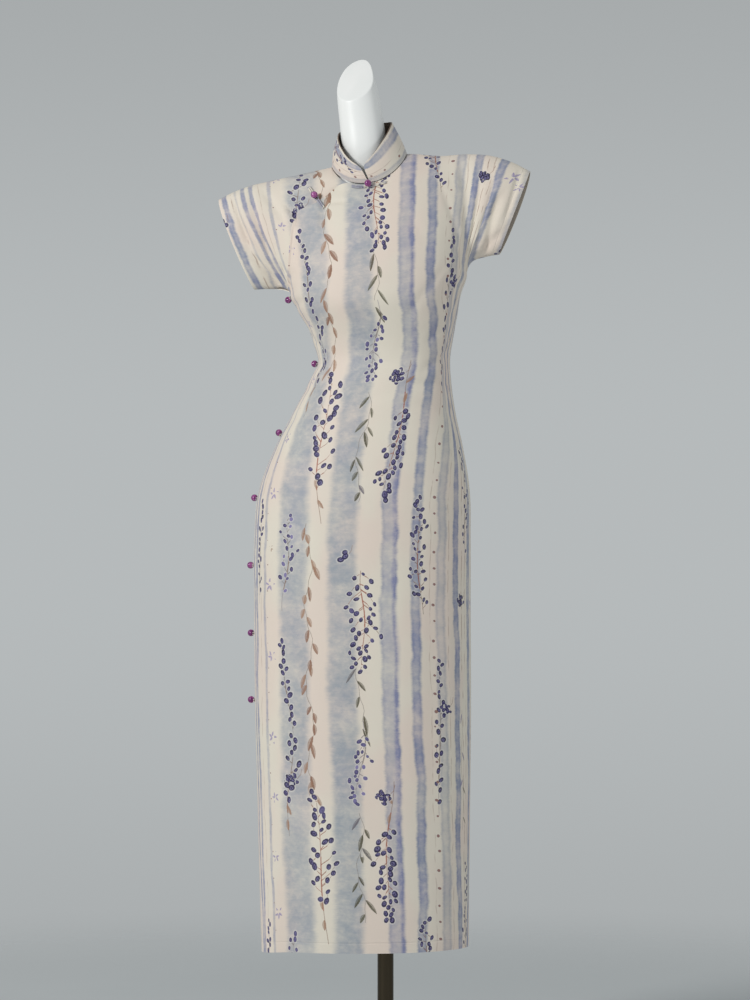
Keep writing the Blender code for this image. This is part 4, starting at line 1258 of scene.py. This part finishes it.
def lap_lift(f, d):
    """How far the front stands off beside its curved edge, between the collar and the armpit."""
    beside = 1 - ease(d - placket(f.ravel()).reshape(f.shape), 0.0, LAP_STANDS_OVER)
    between = ease(-f, 0.06, 0.16) * (1 - ease(-f, 0.80, 0.95))
    return LAP_STANDS * beside * between


def make_front(finishes):
    edge, gap = 1 - SEAM / 2 / BUST_ARC, SEAM / 2 / DROP
    f = columns(-edge, edge, BODY_COLUMNS, PLACKET_COLUMNS)
    top = np.where(f <= 0, placket(f), neckline(False, f) + gap)
    body = body_grid(top, f)
    patches = [layers(False, *body, -lap_lift(*body)), layers(False, *sleeve_grid(1))]
    return wall("front_cloth", patches, finishes)


def make_back(finishes):
    def place_of(place):
        return np.stack([BACK_PRINT[0] - place[..., 0], place[..., 1] + BACK_PRINT[1]], axis=-1)

    edge = 1 - SEAM / 2 / BUST_ARC
    f = columns(-edge, edge, BODY_COLUMNS)
    grids = [body_grid(neckline(True, f) + SEAM / 2 / DROP, f), sleeve_grid(-1), sleeve_grid(1)]
    patches = [tuple(a[:, ::-1] for a in layers(True, *grid, 0.0, place_of)) for grid in grids]
    return wall("back_cloth", patches, finishes)


def lap_sink(f, d):
    """How deep the underlap lies: level with the seams, and below the front panel at its edge."""
    inward = ease(f, *LAP_LEVELS_OUT)
    return LAP * inward * ease(d / placket(np.clip(f, -1, 0).ravel()).reshape(f.shape), 0.3, 0.9)


def make_underlap(finishes):
    def place_of(place):
        return place + UNDERLAP_PRINT

    edge, gap = 1 - SEAM / 2 / BUST_ARC, SEAM / 2 / DROP
    f = columns(-edge, -2 * SEAM / BUST_ARC, 54, PLACKET_COLUMNS)
    low = np.minimum(placket(f) + LAP_DEPTH, 1.0)
    low[0] = 1.0
    share = rows_down()
    d = (neckline(False, f) + gap)[None, :] * (1 - share) + low[None, :] * share
    f = np.broadcast_to(f, d.shape)
    grids = [(f, d), sleeve_grid(-1)]
    patches = [layers(False, *grid, lap_sink(*grid), place_of) for grid in grids]
    return wall("underlap_cloth", patches, finishes)


COLLAR_PRINT = (147.0, 87.0, 350.0)  # print u at the collar's foot and top edge, and v at the back
COLLAR_ENDS = (0.0, 0.004, 0.009, 0.015, 0.022, 0.03, 0.04, 0.05, 0.06)  # columns in its rounded corners
COLLAR_ROWS, COLLAR_COLUMNS = 19, 62


def collar_rows(q, height):
    """Points of the collar's outer face: q is -1 and 1 at the front ends and 0 at the back, height 0 at
    the seam and 1 at the top edge."""
    share = 1 - np.abs(q)
    halfway = 0.5
    f = np.where(share < halfway, np.sin(share / halfway * pi / 2), 0)
    f = np.where(share >= halfway, np.cos((share - halfway) / (1 - halfway) * pi / 2), f)
    f = f * np.sign(q) * NECK_ARC / BUST_ARC
    in_front = share < halfway
    foot = np.empty((len(q), 3))
    for back in (False, True):
        chosen = in_front != back
        foot[chosen] = cloth(back, f[chosen], neckline(back, f[chosen]), 0.0)[0]
    foot[:, 2] += COLLAR_RISE
    angle = share * pi
    half, front, behind = COLLAR_TOP_HALF
    x = np.sign(q) * half * np.sin(angle)
    y = -np.where(in_front, front, behind) * np.cos(angle)
    turn = radians(SHOULDER_YAW)
    across = COLLAR_TOP_MIDDLE[0] + x * cos(turn) - y * sin(turn)
    ahead = COLLAR_TOP_MIDDLE[1] + x * sin(turn) + y * cos(turn)
    top = np.stack([across, ahead, smooth(COLLAR_TOP, share)[:, 0] + COLLAR_ROLL * x], axis=1)
    rim = np.linalg.norm(top - foot, axis=1)
    run = share * COLLAR_RUN
    left_over = 1 - np.clip(run / COLLAR_CORNER, 0, 1)
    corner = COLLAR_CORNER * (1 - np.sqrt(np.clip(1 - left_over**2, 0, 1)))
    h = height[:, None] * ((rim - corner) / rim)[None, :]
    points = foot[None] * (1 - h[..., None]) + top[None] * h[..., None]
    bow = COLLAR_BOW * np.sin(pi * np.clip(h, 0, 1))[..., None]
    middle = points.mean(axis=1, keepdims=True)
    away = (points - middle) * (1, 1, 0)
    away /= np.maximum(np.linalg.norm(away, axis=2), 1e-6)[..., None]
    low, high = COLLAR_PART
    part = (low + (high - low) * h)[..., None] * np.array([cos(turn), sin(turn), 0])
    near_end = (1 - ease(run, 0, 30))[None, :, None]
    points = points + away * bow + part * near_end * np.sign(q)[None, :, None]
    return points, away, h


def make_collar(finishes):
    share = np.concatenate([COLLAR_ENDS, np.linspace(0.07, 1, COLLAR_COLUMNS)])
    q = np.concatenate([share - 1, (1 - share)[::-1][1:]])
    outer, away, h = collar_rows(q, np.linspace(0, 1, COLLAR_ROWS))
    u = COLLAR_PRINT[0] + (COLLAR_PRINT[1] - COLLAR_PRINT[0]) * h
    v = np.broadcast_to(COLLAR_PRINT[2] - q * COLLAR_RUN, u.shape)
    patch = (outer, outer - away * COLLAR_CLOTH, np.stack([u, v], axis=-1))
    return wall("collar_cloth", [patch], finishes)


def solid(body, name, finish, sharp_from=None):
    """Ends a shape in the making as a smooth object, with sharp edges from that many degrees on."""
    mesh = bpy.data.meshes.new(name)
    body.to_mesh(mesh)
    body.free()
    mesh.shade_smooth()
    if sharp_from is not None:
        mesh.set_sharp_from_angle(angle=radians(sharp_from))
    return add_object(mesh, name, [finish])


def lathe(profile, sides):
    """A closed shape turned about the Z axis, from (radius, height) pairs in millimetres."""
    body = bmesh.new()
    turns = [2 * pi * k / sides for k in range(sides)]
    rings = []
    for radius, height in profile:
        ring = [(radius * cos(a) / METRE, radius * sin(a) / METRE, height / METRE) for a in turns]
        rings.append([body.verts.new(place) for place in ring])
    for low, high in zip(rings, rings[1:]):
        for k in range(sides):
            body.faces.new((low[k - 1], low[k], high[k], high[k - 1]))
    body.faces.new(list(reversed(rings[0])))
    body.faces.new(rings[-1])
    return body


CORD_ENDS = 0.6  # a cord's ends are drawn in to this share of its radius


def tube(name, points, radius, finish):
    """A round cord along points in millimetres, its ends drawn in a little."""
    curve = bpy.data.curves.new(name, "CURVE")
    curve.dimensions = "3D"
    curve.bevel_depth = radius / METRE
    curve.bevel_resolution = 3
    curve.use_fill_caps = True
    spline = curve.splines.new("POLY")
    spline.points.add(len(points) - 1)
    spline.use_smooth = True
    for point, place in zip(spline.points, points):
        point.co = (*(Vector(place) / METRE), 1)
    spline.points[0].radius = spline.points[-1].radius = CORD_ENDS
    return add_object(curve, name, [finish])


def through(points):
    """Four times as many points, on a smooth curve through the given ones."""
    rows = np.asarray(points, float)
    table = np.column_stack([np.arange(len(rows)), rows])
    return smooth(table, np.linspace(0, len(rows) - 1, (len(rows) - 1) * 4 + 1), False)


# ================================================================ fasteners


def arm_path(loop):
    """The cord of one arm, as (distance from the button, distance aside): two legs side by side that
    turn round the stem (loop) or meet just short of it."""
    leg = CORD + 0.2
    turn = STEM + CORD + 0.4 if loop else leg
    start = 0.0 if loop else STEM + 3 * CORD + 0.8 + leg
    bend = [(start - turn * cos(a), turn * sin(a)) for a in np.linspace(0, pi / 2, 4)]
    shoulder = [(start + 4.5, (turn + leg) / 2 if loop else leg), (start + 8.0, leg)]
    side = bend + shoulder + [(s, leg) for s in np.linspace(start + 8.0, ARM, 4)[1:]]
    return [(s, -a) for s, a in reversed(side)] + side[1:]


COMES_FROM, STEPS_IN = 15.0, 40  # how far off a point starts, and the steps that bring it in
BALL_SIDES, BALL_RINGS = 40, 22


def rest_on(panels, spot, way, clear):
    """Brings a point in along way until it just clears the modelled pieces of cloth."""
    spot = Vector(spot + way * COMES_FROM) / METRE
    for _ in range(STEPS_IN):
        gap = min(tree.find_nearest(spot)[3] for tree in panels)
        spot -= Vector(way) * (gap - clear / METRE)
    return np.array(spot) * METRE


def ball(name, foot, normal, start, finish):
    """A polished ball on a stem that is start millimetres high, turned about its own axis."""
    arc = np.linspace(pi - 0.26, 0.08, BALL_RINGS)
    profile = [(STEM, 0.0), (STEM, start)]
    profile += [(BUTTON * sin(a), start + BUTTON * (1 + cos(a))) for a in arc]
    body = lathe(profile, BALL_SIDES)
    turned = Vector(normal).to_track_quat("Z", "Y").to_matrix().to_4x4()
    body.transform(Matrix.Translation(Vector(foot) / METRE) @ turned)
    return solid(body, name, finish)


def frog(name, back, f, d, loop_side, slope, bend, lift, panels, finishes):
    """A frog with its ball at (f, d), as cords that lie on the cloth, and the ball."""
    spot, below, beside = cloth(back, np.array([f, f, f + 0.01]), np.array([d, d + 0.01, d]))[0]
    way = outward(back, np.array([f]), np.array([d]))[0]
    across = beside - spot
    across -= way * (across @ way)
    across /= np.linalg.norm(across)
    down = np.cross(across, way) * np.sign(np.cross(across, way) @ (below - spot))
    run = across * cos(radians(slope)) + down * sin(radians(slope))
    aside = down * cos(radians(slope)) - across * sin(radians(slope))
    cord_finish, ball_finish = finishes
    made = []
    for sign, kind in ((loop_side, "loop"), (-loop_side, "tail")):
        points = []
        for s, a in through(arm_path(kind == "loop")):
            place = spot + run * sign * s + aside * (a - bend * (s / ARM) ** 2)
            points.append(rest_on(panels, place, way, CORD + lift))
        piece = tube(f"{name}_{kind}_cord", points, CORD, cord_finish)
        made.append((piece, f"{name}_{kind}", "printed_cloth"))
    stem = SIDE_STEM_HEIGHT if back else STEM_HEIGHT
    piece = ball(f"{name}_ball", rest_on(panels, spot, way, lift), way, stem, ball_finish)
    made.append((piece, f"{name}_button", "button_glaze"))
    for piece, node, slot in made:
        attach(piece, "root")
        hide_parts(node)


# ================================================================ dress form and stand


FORM_SIDES, NECK_RINGS = 120, 29
FORM_FOOT = (700, 703, 707)  # heights of the rings that round the form's lower edge
FORM_STEP, SHOULDER_STEP = 12.0, 5.0  # distance between rings up to the shoulders, and from there on
FORM_SHOULDERS = 1380
CUT_STEPS = 30  # halvings that find the height at which a column meets the cut
CUT_RIM = 1.6  # width of the cut's soft rim, in millimetres


def make_form(finish):
    """The torso and neck as one smooth loft. Its last ring lies in the slanting cut and has a soft rim."""
    angle = np.linspace(0, 2 * pi, FORM_SIDES, endpoint=False)
    power = 2 / ROUNDNESS

    def ring(z):
        mid_x, half, front, behind, tilt = smooth(FORM, z).T
        x = half * np.sign(np.sin(angle)) * np.abs(np.sin(angle)) ** power
        y = -(behind - front) / 2 * np.sign(np.cos(angle)) * np.abs(np.cos(angle)) ** power
        turn = np.radians(smooth(RINGS, np.minimum(z, BUST_Z))[:, 4])
        wx, wy = x * np.cos(turn) - y * np.sin(turn), x * np.sin(turn) + y * np.cos(turn)
        return np.stack([mid_x + wx, (front + behind) / 2 + wy, z + tilt * wx], axis=1)

    low, high = np.full(FORM_SIDES, NECK_TURNS_FROM), np.full(FORM_SIDES, float(FORM[-1][0]))
    for _ in range(CUT_STEPS):
        middle = (low + high) / 2
        above = (ring(middle) - np.array(NECK_CUT)) @ np.array(NECK_CUT_NORMAL) > 0
        low, high = np.where(above, low, middle), np.where(above, middle, high)
    torso = np.arange(FORM[1][0], FORM_SHOULDERS, FORM_STEP)
    shoulders = np.arange(FORM_SHOULDERS, NECK_TURNS_FROM, SHOULDER_STEP)
    heights = [np.full(FORM_SIDES, float(z)) for z in (*FORM_FOOT, *torso, *shoulders)]
    neck_shares = np.linspace(0, 1, NECK_RINGS)
    heights += [NECK_TURNS_FROM + (low - NECK_TURNS_FROM) * share for share in neck_shares]
    body = bmesh.new()
    rings = [[body.verts.new(place) for place in ring(z) / METRE] for z in heights]
    for under, over in zip(rings, rings[1:]):
        for k in range(FORM_SIDES):
            body.faces.new((under[k], under[k - 1], over[k - 1], over[k]))
    body.faces.new(rings[0])
    cap = body.faces.new(list(reversed(rings[-1])))
    bmesh.ops.recalc_face_normals(body, faces=body.faces)
    rim = {"offset": CUT_RIM / METRE, "segments": 3, "profile": 0.5, "affect": "EDGES"}
    bmesh.ops.bevel(body, geom=cap.edges[:], **rim)
    return solid(body, "form_body", finish, FORM_ANGLE)


def turned_piece(name, profile, sides, finish):
    """A piece of the stand, turned about the pole's axis."""
    body = lathe(profile, sides)
    bmesh.ops.recalc_face_normals(body, faces=body.faces)
    return solid(body, name, finish, STAND_ANGLE)


# ================================================================ the whole

printed = printed_cloth()
cord_finish = cord_cloth()
glaze = button_glaze()
shell = form_shell()
dark_metal = stand_metal("pole_metal", srgb(74, 66, 54), 0.12)
base_metal = stand_metal("base_metal", srgb(70, 64, 55), 0.24)
inside_cloth = plain_cloth("inside_cloth", srgb(206, 194, 178), srgb(190, 180, 170))
# The collar's inner face is coloured dark brown as painted shade, for the shade that falls inside the
# collar.
collar_inside_painted_shade = plain_cloth("collar_inside_painted_shade", srgb(96, 78, 62), srgb(82, 66, 54))
# The collar's rolled edges are coloured dark brown as painted shade, for the dark line that shade draws
# along them.
collar_edge_shade = plain_cloth("collar_edge_painted_shade", srgb(110, 90, 74), srgb(88, 72, 60))

front = make_front([printed, inside_cloth])
back = make_back([printed, inside_cloth])
underlap = make_underlap([printed, inside_cloth])
collar = make_collar([printed, collar_inside_painted_shade, collar_edge_shade])

for piece, node in (
    (front, "front_panel"),
    (back, "back_panel"),
    (underlap, "underlap"),
    (collar, "collar"),
):
    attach(piece, "root")
    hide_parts(node)

bpy.context.view_layer.update()
graph = bpy.context.evaluated_depsgraph_get()
panels = [BVHTree.FromObject(piece, graph) for piece in (front, back, underlap, collar)]
for name, *place in FROGS:
    frog(name, *place, panels, (cord_finish, glaze))
for number, z in enumerate(SIDE_FROG_Z, 1):
    place = (True, SIDE_FROG_F, level(z), -1, 0.0, 0.0, LIFT)
    frog(f"frog_side_{number}", *place, panels, (cord_finish, glaze))

PLATE_SIDES, POLE_SIDES = 160, 64

form_body = make_form(shell)
low_rim = BASE_THICK - BASE_EDGE
foot_profile = [(BASE_RADIUS - 1.0, 0.0), (BASE_RADIUS, 1.0), (BASE_RADIUS, low_rim)]
for a in np.linspace(0.2, pi / 2, 6):
    foot_profile.append((BASE_RADIUS - BASE_EDGE * (1 - cos(a)), low_rim + BASE_EDGE * sin(a)))
foot_profile += [(60.0, BASE_THICK), (22.0, BASE_THICK)]
plate = turned_piece("foot_plate", foot_profile, PLATE_SIDES, base_metal)
pole_top = FORM[0][0] - SEAM
stand_pole = turned_piece(
    "stand_pole",
    [
        (POLE_RADIUS - 0.6, BASE_THICK + SEAM),
        (POLE_RADIUS, BASE_THICK + SEAM + 0.6),
        *((POLE_RADIUS, z) for z in np.linspace(30, pole_top - 20, 14)),
        (POLE_RADIUS, pole_top - 0.6),
        (POLE_RADIUS - 0.6, pole_top),
    ],
    POLE_SIDES,
    dark_metal,
)
for piece, node, slot in (
    (form_body, "dress_form", "form_shell"),
    (plate, "base_plate", "stand_metal"),
    (stand_pole, "pole", "stand_metal"),
):
    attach(piece, "root")
    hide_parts(node)

# ---------------------------------------------------------------- floor, light and camera
floor_mesh = bpy.data.meshes.new("studio_floor")
disc = bmesh.new()
bmesh.ops.create_circle(disc, cap_ends=True, radius=2.3, segments=96)
disc.to_mesh(floor_mesh)
disc.free()
floor = add_object(floor_mesh, "studio_floor", [studio_paper()])
floor.location.z = -0.0005

world = bpy.data.worlds.new("studio")
bpy.context.scene.world = world
world.use_nodes = True
sky = world.node_tree
look = sky.nodes.new("ShaderNodeTexCoord")
split = sky.nodes.new("ShaderNodeSeparateXYZ")
height = sky.nodes.new("ShaderNodeMath")
height.operation = "ABSOLUTE"
dim = sky.nodes.new("ShaderNodeMapRange")
dim.interpolation_type = "SMOOTHSTEP"
for name, value in (("From Min", 0.02), ("From Max", 0.20), ("To Min", 1.02), ("To Max", 0.82)):
    dim.inputs[name].default_value = value
sky.links.new(look.outputs["Generated"], split.inputs[0])
sky.links.new(split.outputs["Z"], height.inputs[0])
sky.links.new(height.outputs[0], dim.inputs["Value"])
sky.links.new(dim.outputs[0], sky.nodes["Background"].inputs["Strength"])
sky.nodes["Background"].inputs["Color"].default_value = (0.458, 0.482, 0.489, 1)


def lamp(name, place, target, size, power, colour=(1, 1, 1)):
    data = bpy.data.lights.new(name, "AREA")
    data.shape, data.size, data.energy, data.color = "DISK", size, power, colour
    obj = bpy.data.objects.new(name, data)
    obj.location = place
    obj.rotation_euler = (Vector(target) - Vector(place)).to_track_quat("-Z", "Y").to_euler()
    obj.visible_camera = False
    bpy.context.scene.collection.objects.link(obj)


lamp("window_side", (-2.9, -2.7, 2.5), (0, 0, 1.05), 1.0, 90, (1.0, 0.99, 0.975))
lamp("room_side", (3.0, -2.6, 1.6), (0, 0, 0.9), 0.7, 16, (0.97, 0.98, 1.0))

camera_data = bpy.data.cameras.new("camera")
camera_data.lens, camera_data.sensor_width = 112.5, 36
camera = bpy.data.objects.new("camera", camera_data)
camera.location = (-0.0168, -5.0, 0.925)
camera.rotation_euler = (pi / 2, 0, 0)
bpy.context.scene.collection.objects.link(camera)
bpy.context.scene.camera = camera
bpy.context.scene.view_settings.view_transform = "Standard"
